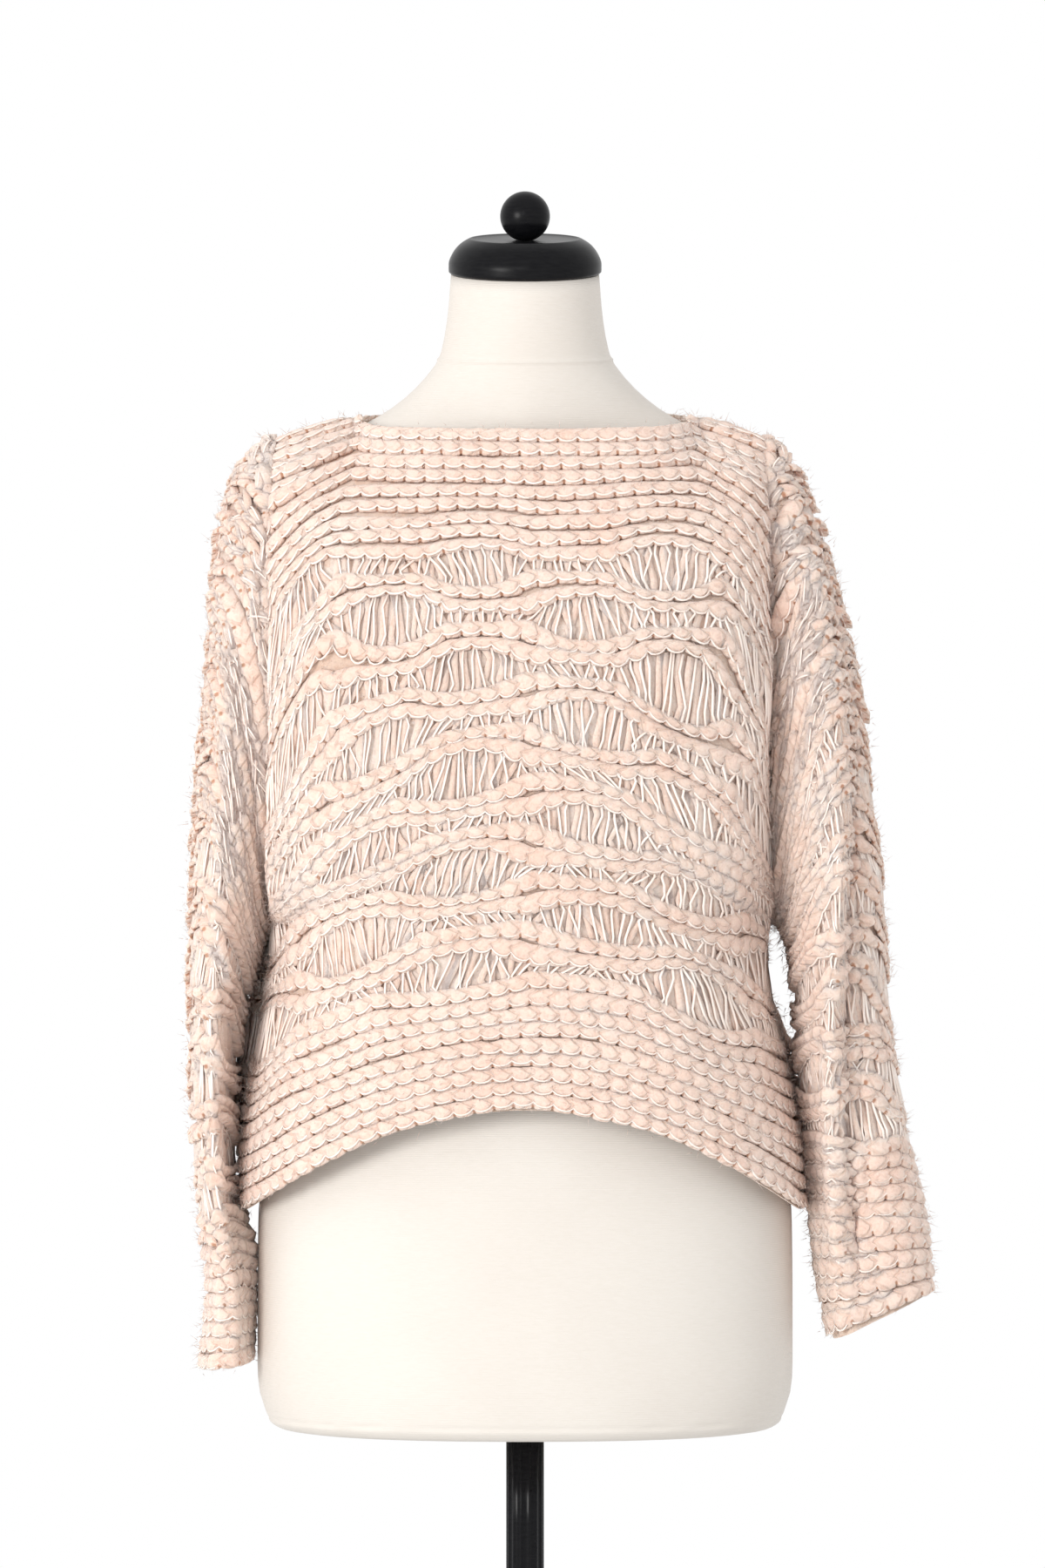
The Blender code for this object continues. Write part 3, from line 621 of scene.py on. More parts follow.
def sample(grid, v, u):
    """The grid at places v down and u across, both from 0 to 1."""
    rows, columns = grid.shape[:2]
    r = np.clip(v, 0, 1) * (rows - 1)
    c = np.clip(u, 0, 1) * (columns - 1)
    r0 = np.minimum(r.astype(int), rows - 2)
    c0 = np.minimum(c.astype(int), columns - 2)
    fr, fc = (r - r0)[..., None], (c - c0)[..., None]
    upper = grid[r0, c0] * (1 - fc) + grid[r0, c0 + 1] * fc
    lower = grid[r0 + 1, c0] * (1 - fc) + grid[r0 + 1, c0 + 1] * fc
    return upper * (1 - fr) + lower * fr


# Meshes


def make_piece(name, points, faces, finish, slot, shade=True, marks=None):
    """A mesh from points and faces, where a triangle among quads ends in -1."""
    mesh = bpy.data.meshes.new(name)
    faces = np.asarray(faces)
    corners = faces[faces >= 0].astype(np.int32)
    starts = np.concatenate([[0], np.cumsum((faces >= 0).sum(axis=1))[:-1]]).astype(np.int32)
    mesh.vertices.add(len(points))
    mesh.vertices.foreach_set("co", np.asarray(points, np.float32).ravel())
    mesh.loops.add(len(corners))
    mesh.loops.foreach_set("vertex_index", corners)
    mesh.polygons.add(len(faces))
    mesh.polygons.foreach_set("loop_start", starts)
    mesh.update(calc_edges=True)
    mesh.validate()
    if shade:
        mesh.shade_smooth()
    if marks is not None:
        stored = mesh.attributes.new("stitch", "FLOAT_VECTOR", "POINT")
        stored.data.foreach_set("vector", np.asarray(marks, np.float32).ravel())
    mesh.materials.append(finish)
    piece = bpy.data.objects.new(name, mesh)
    bpy.context.scene.collection.objects.link(piece)
    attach(piece, "root")
    return piece


def tubes(paths, normals, wide, high, sides, section=None):
    """Closed tubes along many paths at once, flattened against the normals.

    A section lists the angles of its corners in degrees, and without one they are even.
    """
    ahead = unit(np.gradient(paths, axis=1))
    across = unit(np.cross(normals, ahead))
    up = np.cross(ahead, across)
    even = 2 * np.pi * (np.arange(sides) + 0.5) / sides
    angle = even if section is None else np.radians(section)
    sideways = (wide[..., None] * np.cos(angle))[..., None] * across[:, :, None]
    upward = (high[..., None] * np.sin(angle))[..., None] * up[:, :, None]
    points = paths[:, :, None] + sideways + upward
    numbers = np.arange(points.size // 3).reshape(points.shape[:3])
    near, far = numbers[:, :-1], numbers[:, 1:]
    walls = np.stack([near, np.roll(near, -1, 2), np.roll(far, -1, 2), far], axis=-1)
    quads = [walls.reshape(-1, 4)]
    for ring in (numbers[:, 0, ::-1], numbers[:, -1]):
        end = ring[:, :4]
        if sides == 3:
            end = np.concatenate([end, np.full((len(end), 1), -1)], axis=1)
        quads.append(end)
        if sides == 6:
            quads.append(ring[:, [0, 3, 4, 5]])
    return points.reshape(-1, 3), np.concatenate(quads)


def join(parts):
    """One mesh of many, with each point's place in its stitch, or 0 where it has none.

    The place is how far along the row it is, in stitches, and how far down the roll, -1 to 1.
    """
    points, faces, marks, start = [], [], [], 0
    for some_points, some_faces, *some_marks in parts:
        points.append(some_points)
        faces.append(np.where(some_faces < 0, -1, some_faces + start))
        marks.append(some_marks[0] if some_marks else np.zeros((len(some_points), 3)))
        start += len(some_points)
    return np.concatenate(points), np.concatenate(faces), np.concatenate(marks)


# Knit


class Cloth:
    """A piece of the sweater: its inside as a grid, and its knit laid on it."""

    def __init__(self, name, inside, normals, plan, side, rng):
        self.name = name
        self.side = side
        self.tube = side is not None
        self.inside = inside
        self.normals = normals
        self.plan = plan
        self.rng = rng
        self.hand = np.sign((normals_of(inside) * normals).sum())
        self.extra = SLEEVE_EXTRA if self.tube else PANEL_EXTRA
        self.edge_keep = EDGE_KEEP["tube" if self.tube else "panel"]
        row = inside[inside.shape[0] // 2]
        self.width = np.linalg.norm(np.diff(row, axis=0), axis=1).sum()
        self.ridges(np.array([0.5]))

    def across(self, u):
        return np.abs(u - 0.5) * self.width if self.tube else (u - 0.5) * self.width

    def swell(self, v, u):
        """How far the soft folds lift the cloth."""
        height = 0.0
        for fold_v, fold_u, turn, long, wide, high in FOLDS[self.name]:
            x = u - fold_u
            if self.tube:
                x = x - np.round(x)
            x, y = x * self.width, (v - fold_v) * self.total
            cosine, sine = math.cos(math.radians(turn)), math.sin(math.radians(turn))
            ahead, aside = x * cosine + y * sine, y * cosine - x * sine
            height = height + high * np.exp(-((ahead / long) ** 2) - (aside / wide) ** 2)
        if self.tube:
            aside = (u - curve(v, CREASE_PATH[self.side])) * self.width
            fade = ease(v / CREASE_FADE) * (1 - ease((v - CREASE_UNTIL) / CREASE_FADE))
            beside = ((aside - CREASE_ROLL_AT) / CREASE_ROLL_HALF) ** 2
            roll = CREASE_ROLL_SHARE * np.exp(-beside) - np.exp(-((aside / CREASE_HALF) ** 2))
            height = height + fade * CREASE_DEPTH[self.side] * roll
            start = 1 - ease(v / SLEEVE_START_REACH)
            height = height + SLEEVE_START_LIFT * start * np.sin(2 * np.pi * u) ** 2
        return height

    def at(self, v, u, lift):
        u = u % 1.0 if self.tube else u
        lift = lift + self.swell(v, u)
        place = sample(self.inside, v, u) + sample(self.normals, v, u) * lift[..., None]
        if self.tube:
            place[..., 0] += SIDES[self.side] * np.minimum(v, 0) * self.total
        return place

    def out(self, v, u):
        u = u % 1.0 if self.tube else u
        return unit(sample(self.normals, v, u))

    def lean(self, place, u):
        """Where a ridge's place comes to lie: it climbs inside a sleeve, drops at a shoulder."""
        amount = curve(place, RIDGE_CLIMB[self.side] if self.tube else PANEL_DROP)
        if self.tube:
            amount = np.where(place < 0, 0, amount)
            return place - amount * np.abs(np.sin(np.pi * u)) ** CLIMB_POWER
        share = np.abs(u - 0.5) * 2
        corner = ease((share - CORNER_FROM) / (1 - CORNER_FROM))
        here, middle = (sample(self.inside, place, at + 0 * place) for at in (u, 0.5))
        rise = here[..., 2] - middle[..., 2]
        return place + (amount * corner + CORNER_FLATTEN * np.maximum(rise, 0)) / self.total

    def ridges(self, u):
        """Places of all the ridges down the cloth at u."""
        u = u % 1.0 if self.tube else np.clip(u, 0, 1)
        places, windows, self.total = ridge_lines(self.plan, self.across(u))
        above = -np.array(self.extra)[:, None] / self.total * np.ones_like(u)
        self.windows = {index + len(self.extra): row for index, row in windows.items()}
        return self.lean(np.concatenate([above, places]), u)


def wander(rng, count, step):
    """Slow random drift from stitch to stitch, between about -1 and 1."""
    knots = rng.normal(0, 1, max(2, count // step + 3))
    places = np.linspace(0, len(knots) - 1.001, count)
    low = places.astype(int)
    part = ease(places - low)
    return knots[low] * (1 - part) + knots[low + 1] * part


class Ridge:
    """One ridge of the knit: its line on the cloth, and the middles of its stitches along it."""

    def __init__(self, cloth, dense, place, room, least=0.0, bare=False):
        self.cloth, self.dense, self.place = cloth, dense, place
        self.room, self.least, self.bare = room, least, bare
        self.lengths = run_lengths(cloth.at(place, dense, np.full(len(dense), RIDGE_LIFT)))
        self.count = max(6, int(round(self.lengths[-1] / STITCH)))
        self.step = self.lengths[-1] / self.count
        self.phase = cloth.rng.uniform(0, 1) if cloth.tube else 0.5
        uneven = cloth.rng.normal(0, 0.05, self.count)
        self.all_middles = (np.arange(self.count) + self.phase + uneven) * self.step
        self.middles = self.all_middles[self.kept(self.all_middles)]

    def down(self, u):
        """The ridge's place down the cloth at u."""
        return np.interp(u, self.dense, self.place)

    def space(self, distance):
        """How large the stitches are here, from the room beside the ridge."""
        room = np.interp(self.u(distance), self.dense, self.room)
        return np.clip(room / RIDGE_PITCH, *SIZE_LIMITS)

    def kept(self, distance):
        """Where the ridge lies on the cloth and has room."""
        u = self.u(distance)
        roomy = np.interp(u, self.dense, self.room) >= self.least
        return (self.down(u) > self.cloth.edge_keep) & roomy

    def stretches(self, steps):
        """The unbroken stretches of the ridge: places in stitches, and distances along it."""
        stitch = np.arange(self.count * steps + 1) / steps
        kept = self.kept((stitch + self.phase - 0.5) * self.step)
        ends = np.flatnonzero(np.diff(np.concatenate([[0], kept.astype(int), [0]])))
        for start, end in ends.reshape(-1, 2):
            if end - start > SHORTEST * steps:
                part = stitch[start:end]
                yield part, (part + self.phase - 0.5) * self.step

    def u(self, distance):
        whole = self.lengths[-1]
        wrapped = distance % whole if self.cloth.tube else np.clip(distance, 0, whole)
        return np.interp(wrapped, self.lengths, self.dense)

    def point(self, distance, down, lift):
        """Points at a distance along the ridge, down the cloth from it and out from the cloth."""
        u = self.u(distance)
        v = self.down(u) + down / self.cloth.total
        return self.cloth.at(v, u, lift), self.cloth.out(v, u)


def untidiness(ridge):
    """How jumbled the stitches are: most at the tops of the sleeves."""
    if not ridge.cloth.tube or ridge.bare:
        return 0.0
    return UNTIDY[ridge.cloth.side] * (1 - 0.75 * ease((ridge.place.max() - 0.30) / 0.25))


def lay_roll(ridge, flip, yarn, cord, roots):
    """A row as a soft roll, pinched between its stitches, with the cord along its lower edge."""
    cloth = ridge.cloth
    rng = cloth.rng
    untidy = untidiness(ridge)
    corners = len(ROLL_SECTION)
    for stitch, distance in ridge.stretches(ROLL_STEPS):
        count = len(stitch)
        drift = partial(wander, rng, count)
        belly = np.abs(np.sin(np.pi * stitch)) ** BELLY_POWER
        puff = rng.normal(0, PUFF, int(stitch[-1]) + 2)[stitch.astype(int)] * belly
        size = (1 + SIZE_DRIFT * drift(4 * ROLL_STEPS) + puff) * ridge.space(distance)
        from_end = np.minimum(np.arange(count), np.arange(count)[::-1])
        size = size * (END_SIZE + (1 - END_SIZE) * ease((from_end + 1) / ROLL_STEPS))
        wide = ROLL_WIDE * size * (1 - PINCH_WIDE * (1 - belly))
        high = ROLL_HIGH * np.minimum(size, HIGH_LIMIT) * (1 - PINCH_HIGH + PINCH_HIGH * belly)
        sway = (SWAY + UNTIDY_SWAY * untidy) * drift(4 * ROLL_STEPS)
        down = sway - PINCH_CLIMB * (1 - belly)
        lift = RIDGE_LIFT - PINCH_SINK + PINCH_SINK * belly + LIFT_DRIFT * drift(3 * ROLL_STEPS)
        points, normals = ridge.point(distance, down, lift)
        tube, faces = tubes(
            points[None], normals[None], wide[None], high[None], corners, ROLL_SECTION
        )
        marks = np.zeros((count, corners, 3))
        marks[..., 0] = flip * stitch[:, None] + 0.5
        marks[..., 1] = cloth.hand * np.cos(np.radians(ROLL_SECTION))
        yarn.append((tube, faces, marks.reshape(-1, 3)))
        skin = tube.reshape(count, corners, 3)[:, 1:-1] - normals[:, None] * ROOT_DEPTH
        roots.append((skin.reshape(-1, 3), np.repeat(normals, corners - 2, axis=0)))
        if ridge.bare:
            continue
        low = CORD_LOW + CORD_SCALLOP * belly + CORD_WANDER * drift(3 * ROLL_STEPS)
        dive = CORD_DIVE * np.clip(drift(5 * ROLL_STEPS), 0, 1)
        rise = high * np.sqrt(1 - np.clip(low, -0.9, 0.9) ** 2) + CORD_OUT - dive
        points, normals = ridge.point(distance, down + low * wide, lift + rise)
        radius = np.full((1, count), CORD_RADIUS)
        cord.append(tubes(points[None], normals[None], radius, radius, 3))


def lay_loose(ridge, flip, yarn, cord, roots):
    """Loose stitches on a row: an arrow of two fuzzy strands, with the cord along one of them."""
    cloth, step = ridge.cloth, ridge.step
    rng = cloth.rng
    middles = ridge.middles[rng.random(len(ridge.middles)) < LOOSE_SHARE]
    stitches = len(middles)
    if not stitches:
        return
    spread = lambda amount: rng.normal(0, amount, (stitches, 1))
    drift = lambda gap: wander(rng, stitches, gap)[:, None]
    untidy = untidiness(ridge)
    size = (1 + 0.08 * drift(4) + spread(0.05)) * ridge.space(middles)[:, None]
    slope = 0.0006 * drift(5) + untidy * spread(STRAND_TILT)
    sink = 0.0004 * drift(3)
    bounce = LIFT_DRIFT * drift(3) + untidy * np.abs(spread(STRAND_BOUNCE))
    t = np.linspace(STRAND_FROM, STRAND_TO, 4)[None, :]
    done = (t - STRAND_FROM) / (STRAND_TO - STRAND_FROM)
    belly = np.sin(np.pi * np.clip(0.08 + 0.84 * done, 0, 1)) ** 0.55
    for half in (-1, 1):
        apart = half * size * STRAND_APART * (1 - STRAND_CLOSING * ease(done))
        lift = RIDGE_LIFT + LOOSE_LIFT - 0.0011 + 0.0014 * belly + 0.0006 * done + bounce
        distance = middles[:, None] + flip * (t + spread(0.04)) * step
        points, normals = ridge.point(
            distance, apart + slope * t * 2 + sink, lift + np.zeros_like(distance)
        )
        wide = STRAND_WIDE * size * (0.45 + 0.55 * belly)
        high = STRAND_HIGH * np.minimum(size, HIGH_LIMIT) * (0.50 + 0.50 * belly)
        yarn.append(tubes(points, normals, wide, high, 4))
        roots.append((points.reshape(-1, 3), normals.reshape(-1, 3)))
    half = np.sign(wander(rng, stitches, 6) + 0.35)[:, None]
    t = np.linspace(LOOSE_CORD_FROM, LOOSE_CORD_TO, 6)[None, :]
    done = (t - LOOSE_CORD_FROM) / (LOOSE_CORD_TO - LOOSE_CORD_FROM)
    at_ends = (2 * np.abs(done - 0.5)) ** 3
    down = half * size * STRAND_APART * (1.25 - 0.95 * ease(done)) + slope * t * 2 + sink
    over = RIDGE_LIFT + LOOSE_LIFT + STRAND_HIGH + 0.0002
    distance = middles[:, None] + flip * t * step
    rise = over - LOOSE_CORD_DIP * at_ends + bounce
    points, normals = ridge.point(distance, down, rise + np.zeros_like(distance))
    radius = np.full(points.shape[:2], CORD_RADIUS) * (1 - 0.35 * at_ends)
    cord.append(tubes(points, normals, radius, radius, 3))


def lay_window(upper, lower, yarn, cord):
    """Long strands across a row of windows, from one ridge to the next."""
    cloth = upper.cloth
    rng = cloth.rng
    middles = upper.all_middles
    middles = middles[lower.down(upper.u(middles)) > WINDOW_KEEP]
    stitches = len(middles)
    if not stitches:
        return
    spread = lambda amount: rng.normal(0, amount, (stitches, 1))
    share = STITCH / upper.lengths[-1]
    start = upper.u(middles)[:, None]
    lean = LEG_LEAN * wander(rng, stitches, 2)[:, None]
    t = np.linspace(0, 1, 5)[None, :]
    for kind, offset in (("yarn", 0.0), ("yarn", 0.50), ("cord", 0.25), ("cord", 0.75)):
        sway = spread(0.15) * np.sin(2 * np.pi * t)
        drift = (lean + spread(0.13)) * (t - 0.5) * 2 + sway
        u = start + (offset + spread(0.08) + drift) * share
        u = u % 1.0 if cloth.tube else np.clip(u, 0.003, 0.997)
        top, bottom = upper.down(u), lower.down(u)
        v = np.maximum(top + (bottom - top) * (0.05 + 0.90 * t), EDGE_KEEP["tube"])
        bulge = np.sin(np.pi * t) + np.zeros_like(u)
        if kind == "yarn":
            lift = LEG_LIFT + spread(0.0004) * bulge
            wide = LEG_WIDE * (1 + LEG_SPREAD - LEG_SPREAD * bulge) * (1 + spread(0.12))
            high, sides, into = LEG_HIGH * np.ones_like(u), 4, yarn
        else:
            lift = LEG_LIFT + LEG_CORD_LIFT + 0.0006 * bulge
            wide = LEG_CORD_WIDE * CORD_RADIUS * np.ones_like(u)
            high, sides, into = wide, 3, cord
        into.append(tubes(cloth.at(v, u, lift), cloth.out(v, u), wide, high, sides))


def lay_knit(cloth):
    """Stitches of all the ridges, and the strands across the windows between them."""
    dense = np.linspace(0, 1, 241)
    places = cloth.ridges(dense)
    gaps = np.diff(places, axis=0) * cloth.total
    last = len(places) - 1
    first = 1 if cloth.tube else 0
    rooms = np.full(places.shape, NO_ROOM_SET)
    for index in range(first, last):
        if index not in cloth.windows:
            rooms[index] = np.minimum(rooms[index], gaps[index])
            rooms[index + 1] = np.minimum(rooms[index + 1], gaps[index])
    rooms = np.where(rooms == NO_ROOM_SET, RIDGE_PITCH, rooms)
    ridges = [
        Ridge(cloth, dense, place, room, bare=cloth.tube and index == 0)
        for index, (place, room) in enumerate(zip(places, rooms))
    ]
    yarn, cord, roots = [], [], []
    for index, ridge in enumerate(ridges):
        flip = 1 if index % 2 else -1
        untidy = untidiness(ridge) > UNTIDY_FROM
        lay_roll(ridge, flip, yarn, cord, roots)
        if untidy:
            lay_loose(ridge, flip, yarn, cord, roots)
        if index in cloth.windows and not untidy:
            lay_window(ridge, ridges[index + 1], yarn, cord)
        elif first <= index < last and gaps[index].max() > 2 * MIDDLE_ROOM:
            halfway = (places[index] + places[index + 1]) / 2
            middle = Ridge(cloth, dense, halfway, gaps[index] / 2, least=MIDDLE_ROOM)
            lay_roll(middle, -flip, yarn, cord, roots)
    return join(yarn), join(cord), roots


def lay_ground(cloth, rows=72, columns=84):
    """A thin fuzzy backing under the stitches, painted as shade, and which of its faces lie in a
    window, where they are painted paler as light.
    """
    vv, uu = np.meshgrid(np.linspace(0, 1, rows), np.linspace(0, 1, columns), indexing="ij")
    low = cloth.at(vv, uu, np.full(vv.shape, GROUND_LIFT))
    high = cloth.at(vv, uu, np.full(vv.shape, GROUND_LIFT + GROUND_THICKNESS))
    centre_v = (vv[:-1, :-1] + vv[1:, 1:]) / 2
    centre_u = (uu[:-1, :-1] + uu[1:, 1:]) / 2
    crests = cloth.ridges(centre_u[0])
    # Faces in the open windows get the pale haze, painted as light scattered through the knit
    hazy_and_lit = np.zeros(centre_v.shape, bool)
    for index in cloth.windows:
        top, bottom = crests[index], crests[index + 1]
        margin = WINDOW_MARGIN / cloth.total
        wide_open = (bottom - top) * cloth.total > WINDOW_OPEN
        hazy_and_lit |= (centre_v > top + margin) & (centre_v < bottom - margin) & wide_open[None, :]
    numbers = np.arange(rows * columns).reshape(rows, columns)
    if cloth.tube:
        numbers[:, -1] = numbers[:, 0]
    a, b, d, e = numbers[:-1, :-1], numbers[:-1, 1:], numbers[1:, :-1], numbers[1:, 1:]
    quads = np.stack([a, b, e, d], axis=-1).reshape(-1, 4)
    shift = rows * columns
    edges = [np.stack([numbers[0, :-1], numbers[0, 1:]], axis=1)]
    edges.append(np.stack([numbers[-1, 1:], numbers[-1, :-1]], axis=1))
    if not cloth.tube:
        edges.append(np.stack([numbers[1:, 0], numbers[:-1, 0]], axis=1))
        edges.append(np.stack([numbers[:-1, -1], numbers[1:, -1]], axis=1))
    border = np.concatenate(edges)
    rim = np.concatenate([border[:, ::-1], border + shift], axis=1)
    faces = np.concatenate([quads[:, ::-1], quads + shift, rim])
    marks = np.concatenate([hazy_and_lit.ravel(), hazy_and_lit.ravel(), np.zeros(len(rim), bool)])
    points = np.concatenate([low.reshape(-1, 3), high.reshape(-1, 3)])
    used, inverse = np.unique(faces, return_inverse=True)
    return points[used], inverse.reshape(faces.shape), marks


def lay_hair(cloth, roots, count):
    """Loose fibres that stand out of the yarn, each a thin three-sided spike."""
    rng = cloth.rng
    points = np.concatenate([p for p, _ in roots])
    normals = np.concatenate([n for _, n in roots])
    pick = rng.integers(0, len(points), count)
    aim = unit(normals[pick] + rng.normal(0, HAIR_SPLAY, (count, 3)))
    root = points[pick] + aim * HAIR_OUT + rng.normal(0, 0.0014, (count, 3))
    length = rng.gamma(4.0, 0.0008, (count, 1)) + HAIR_LEAST
    tip = root + aim * length + rng.normal(0, 0.0011, (count, 3)) - np.array([0, 0, 0.0006])
    side = unit(np.cross(aim, rng.normal(0, 1, (count, 3))))
    other = np.cross(aim, side)
    radius = rng.uniform(*HAIR_RADII, (count, 1))
    corners = []
    for k in range(3):
        angle = 2 * np.pi * k / 3
        corners.append(root + radius * (side * math.cos(angle) + other * math.sin(angle)))
    points = np.stack([*corners, tip], axis=1).reshape(-1, 3)
    first = np.arange(count)[:, None] * 4
    spike = ((0, 1, 3), (1, 2, 3), (2, 0, 3), (0, 2, 1))
    return points, np.concatenate([first + np.array(face) for face in spike])


# Materials


def feed(tree, socket, value):
    """Sets a socket, or links it where the value is another node's socket."""
    if isinstance(value, bpy.types.NodeSocket):
        tree.links.new(value, socket)
    else:
        socket.default_value = value


def node(tree, kind, **inputs):
    """A node with its inputs fed, where an underscore stands for the space in a socket's name."""
    made = tree.nodes.new(kind)
    for name, value in inputs.items():
        feed(tree, made.inputs[name.replace("_", " ")], value)
    return made


def new_material(name, **sockets):
    made = bpy.data.materials.new(name)
    made.use_nodes = True
    shader = made.node_tree.nodes["Principled BSDF"]
    for socket, value in sockets.items():
        shader.inputs[socket.replace("_", " ")].default_value = value
    return made, made.node_tree, shader


def ramp(tree, factor, stops):
    made = node(tree, "ShaderNodeValToRGB", Fac=factor)
    elements = made.color_ramp.elements
    while len(elements) < len(stops):
        elements.new(0.5)
    for element, (place, colour) in zip(elements, stops):
        element.position = place
        element.color = (*colour, 1.0)
    return made.outputs["Color"]


def object_place(tree, scale=(1.0, 1.0, 1.0)):
    place = tree.nodes.new("ShaderNodeTexCoord").outputs["Object"]
    return node(tree, "ShaderNodeMapping", Vector=place, Scale=scale).outputs["Vector"]


def noise(tree, place, scale, detail=3.0, **more):
    settings = {"Roughness": 0.6, "Distortion": 0.0, **more}
    made = node(tree, "ShaderNodeTexNoise", Vector=place, Scale=scale, Detail=detail, **settings)
    return made.outputs["Fac"]


def bump(tree, shader, height, distance, strength, **under):
    """A bump on the shader, laid over the one under it if that is given as its Normal."""
    sizes = {"Distance": distance, "Strength": strength}
    made = node(tree, "ShaderNodeBump", Height=height, **sizes, **under)
    tree.links.new(made.outputs["Normal"], shader.inputs["Normal"])
    return made.outputs["Normal"]


def mix(tree, factor, first, second, blend="MIX"):
    made = tree.nodes.new("ShaderNodeMix")
    made.data_type = "RGBA"
    made.blend_type = blend
    inputs = [s for s in made.inputs if s.enabled]
    for socket, value in zip(inputs, (factor, first, second)):
        feed(tree, socket, (*value, 1.0) if isinstance(value, tuple) else value)
    return [s for s in made.outputs if s.enabled][0]


def arithmetic(tree, operation, first, second=0.0):
    made = tree.nodes.new("ShaderNodeMath")
    made.operation = operation
    for socket, value in zip(made.inputs, (first, second)):
        feed(tree, socket, value)
    return made.outputs[0]


def between(tree, value, low, high):
    """0 below low and 1 above high, with a soft step between."""
    made = node(tree, "ShaderNodeMapRange", Value=value, From_Min=low, From_Max=high)
    made.interpolation_type = "SMOOTHSTEP"
    return made.outputs["Result"]


def stitch_marks(tree):
    """How near a point is to the end of its stitch, and where the painted shadow spot under that
    end goes.
    """
    stored = tree.nodes.new("ShaderNodeAttribute")
    stored.attribute_name = "stitch"
    parts = tree.nodes.new("ShaderNodeSeparateXYZ")
    tree.links.new(stored.outputs["Vector"], parts.inputs["Vector"])
    along = arithmetic(tree, "ADD", parts.outputs["X"], 0.5)
    lower = parts.outputs["Y"]
    arrow = arithmetic(tree, "MULTIPLY", arithmetic(tree, "ABSOLUTE", lower), 0.55)
    place = arithmetic(tree, "PINGPONG", arithmetic(tree, "ADD", along, arrow), 0.5)
    crease = between(tree, place, 0.0, 0.17)
    under = arithmetic(tree, "PINGPONG", along, 0.5)
    ended = arithmetic(tree, "SUBTRACT", 1.0, between(tree, under, 0.06, 0.17))
    dot_shadow = arithmetic(tree, "MULTIPLY", ended, between(tree, lower, 0.40, 0.68))
    return crease, dot_shadow


def yarn_material(name, light, middle, dark, stitched=False):
    """Fuzzy wool in three tones; if it is stitched, with bumped creases at the stitches' ends,
    painted shade in those creases and a painted shadow spot under each end.
    """
    soft = {"Sheen_Weight": 0.5, "Sheen_Roughness": 0.5, "Sheen_Tint": (1.0, 0.86, 0.79, 1.0)}
    soft |= {"Subsurface_Weight": 0.60, "Subsurface_Scale": 0.0045}
    made, tree, shader = new_material(
        name, Roughness=0.95, Specular_IOR_Level=0.15, Subsurface_Radius=YARN_SCATTER, **soft
    )
    place = object_place(tree)
    broad = noise(tree, place, 24.0, detail=2.0)
    clump = noise(tree, place, 330.0, Distortion=0.8)
    tone = ramp(tree, broad, ((0.30, dark), (0.52, middle), (0.75, light)))
    flecks = ((0.32, (0.86, 0.82, 0.80)), (0.52, (1.0, 1.0, 1.0)), (0.78, (1.06, 1.07, 1.08)))
    colour = mix(tree, 0.9, tone, ramp(tree, clump, flecks), "MULTIPLY")
    drawn_out = object_place(tree, (1.0, 1.0, 2.4))
    hairs = noise(tree, drawn_out, 800.0, detail=4.0, Roughness=0.7, Distortion=1.5)
    surface = bump(tree, shader, hairs, 0.0012, 0.55)
    surface = bump(tree, shader, clump, 0.0022, 0.45, Normal=surface)
    if stitched:
        crease, dot_shadow = stitch_marks(tree)
        bump(tree, shader, crease, 0.0018, 0.7, Normal=surface)
        # Painted shade darkens the creases at the stitches' ends, and painted shadow spots go
        # under them
        crease_shade = arithmetic(tree, "MULTIPLY", arithmetic(tree, "SUBTRACT", 1.0, crease), 0.40)
        colour = mix(tree, crease_shade, colour, CREASE_SHADE_COLOUR)
        colour = mix(tree, dot_shadow, colour, DOT_SHADOW_COLOUR)
    tree.links.new(colour, shader.inputs["Base Color"])
    return made


def cord_material():
    soft = {"Sheen_Weight": 0.15, "Sheen_Roughness": 0.3, "Sheen_Tint": (1.0, 0.88, 0.82, 1.0)}
    soft |= {"Subsurface_Weight": 0.15, "Subsurface_Scale": 0.003}
    made, tree, shader = new_material(
        "white cord", Roughness=0.5, Specular_IOR_Level=0.2, Subsurface_Radius=YARN_SCATTER, **soft
    )
    place = object_place(tree)
    twist = noise(tree, place, 1500.0, detail=2.0)
    broad = noise(tree, place, 60.0, detail=1.0)
    tone = ramp(tree, broad, ((0.35, (0.970, 0.825, 0.735)), (0.65, (0.985, 0.880, 0.810))))
    tree.links.new(tone, shader.inputs["Base Color"])
    bump(tree, shader, twist, 0.0004, 0.5)
    return made


def jersey_material():
    soft = {"Sheen_Weight": 0.10, "Sheen_Roughness": 0.5, "Specular_IOR_Level": 0.3}
    made, tree, shader = new_material("cream jersey", Roughness=0.78, **soft)
    place = object_place(tree)
    broad = noise(tree, place, 7.0, detail=2.0)
    slub = noise(tree, object_place(tree, (1.0, 1.0, 6.0)), 160.0, detail=2.0)
    tone = ramp(tree, broad, ((0.30, (0.655, 0.610, 0.562)), (0.70, (0.693, 0.654, 0.607))))
    fleck = ramp(tree, slub, ((0.30, (0.97, 0.965, 0.955)), (0.70, (1.0, 1.0, 1.0))))
    tree.links.new(mix(tree, 1.0, tone, fleck, "MULTIPLY"), shader.inputs["Base Color"])
    sizes = {"Scale": 260.0, "Distortion": 1.2, "Detail": 1.0}
    wales = node(tree, "ShaderNodeTexWave", Vector=place, **sizes)
    wales.wave_type = "BANDS"
    wales.bands_direction = "Z"
    first = bump(tree, shader, wales.outputs["Fac"], 0.00012, 0.5)
    bump(tree, shader, slub, 0.00025, 0.35, Normal=first)
    return made


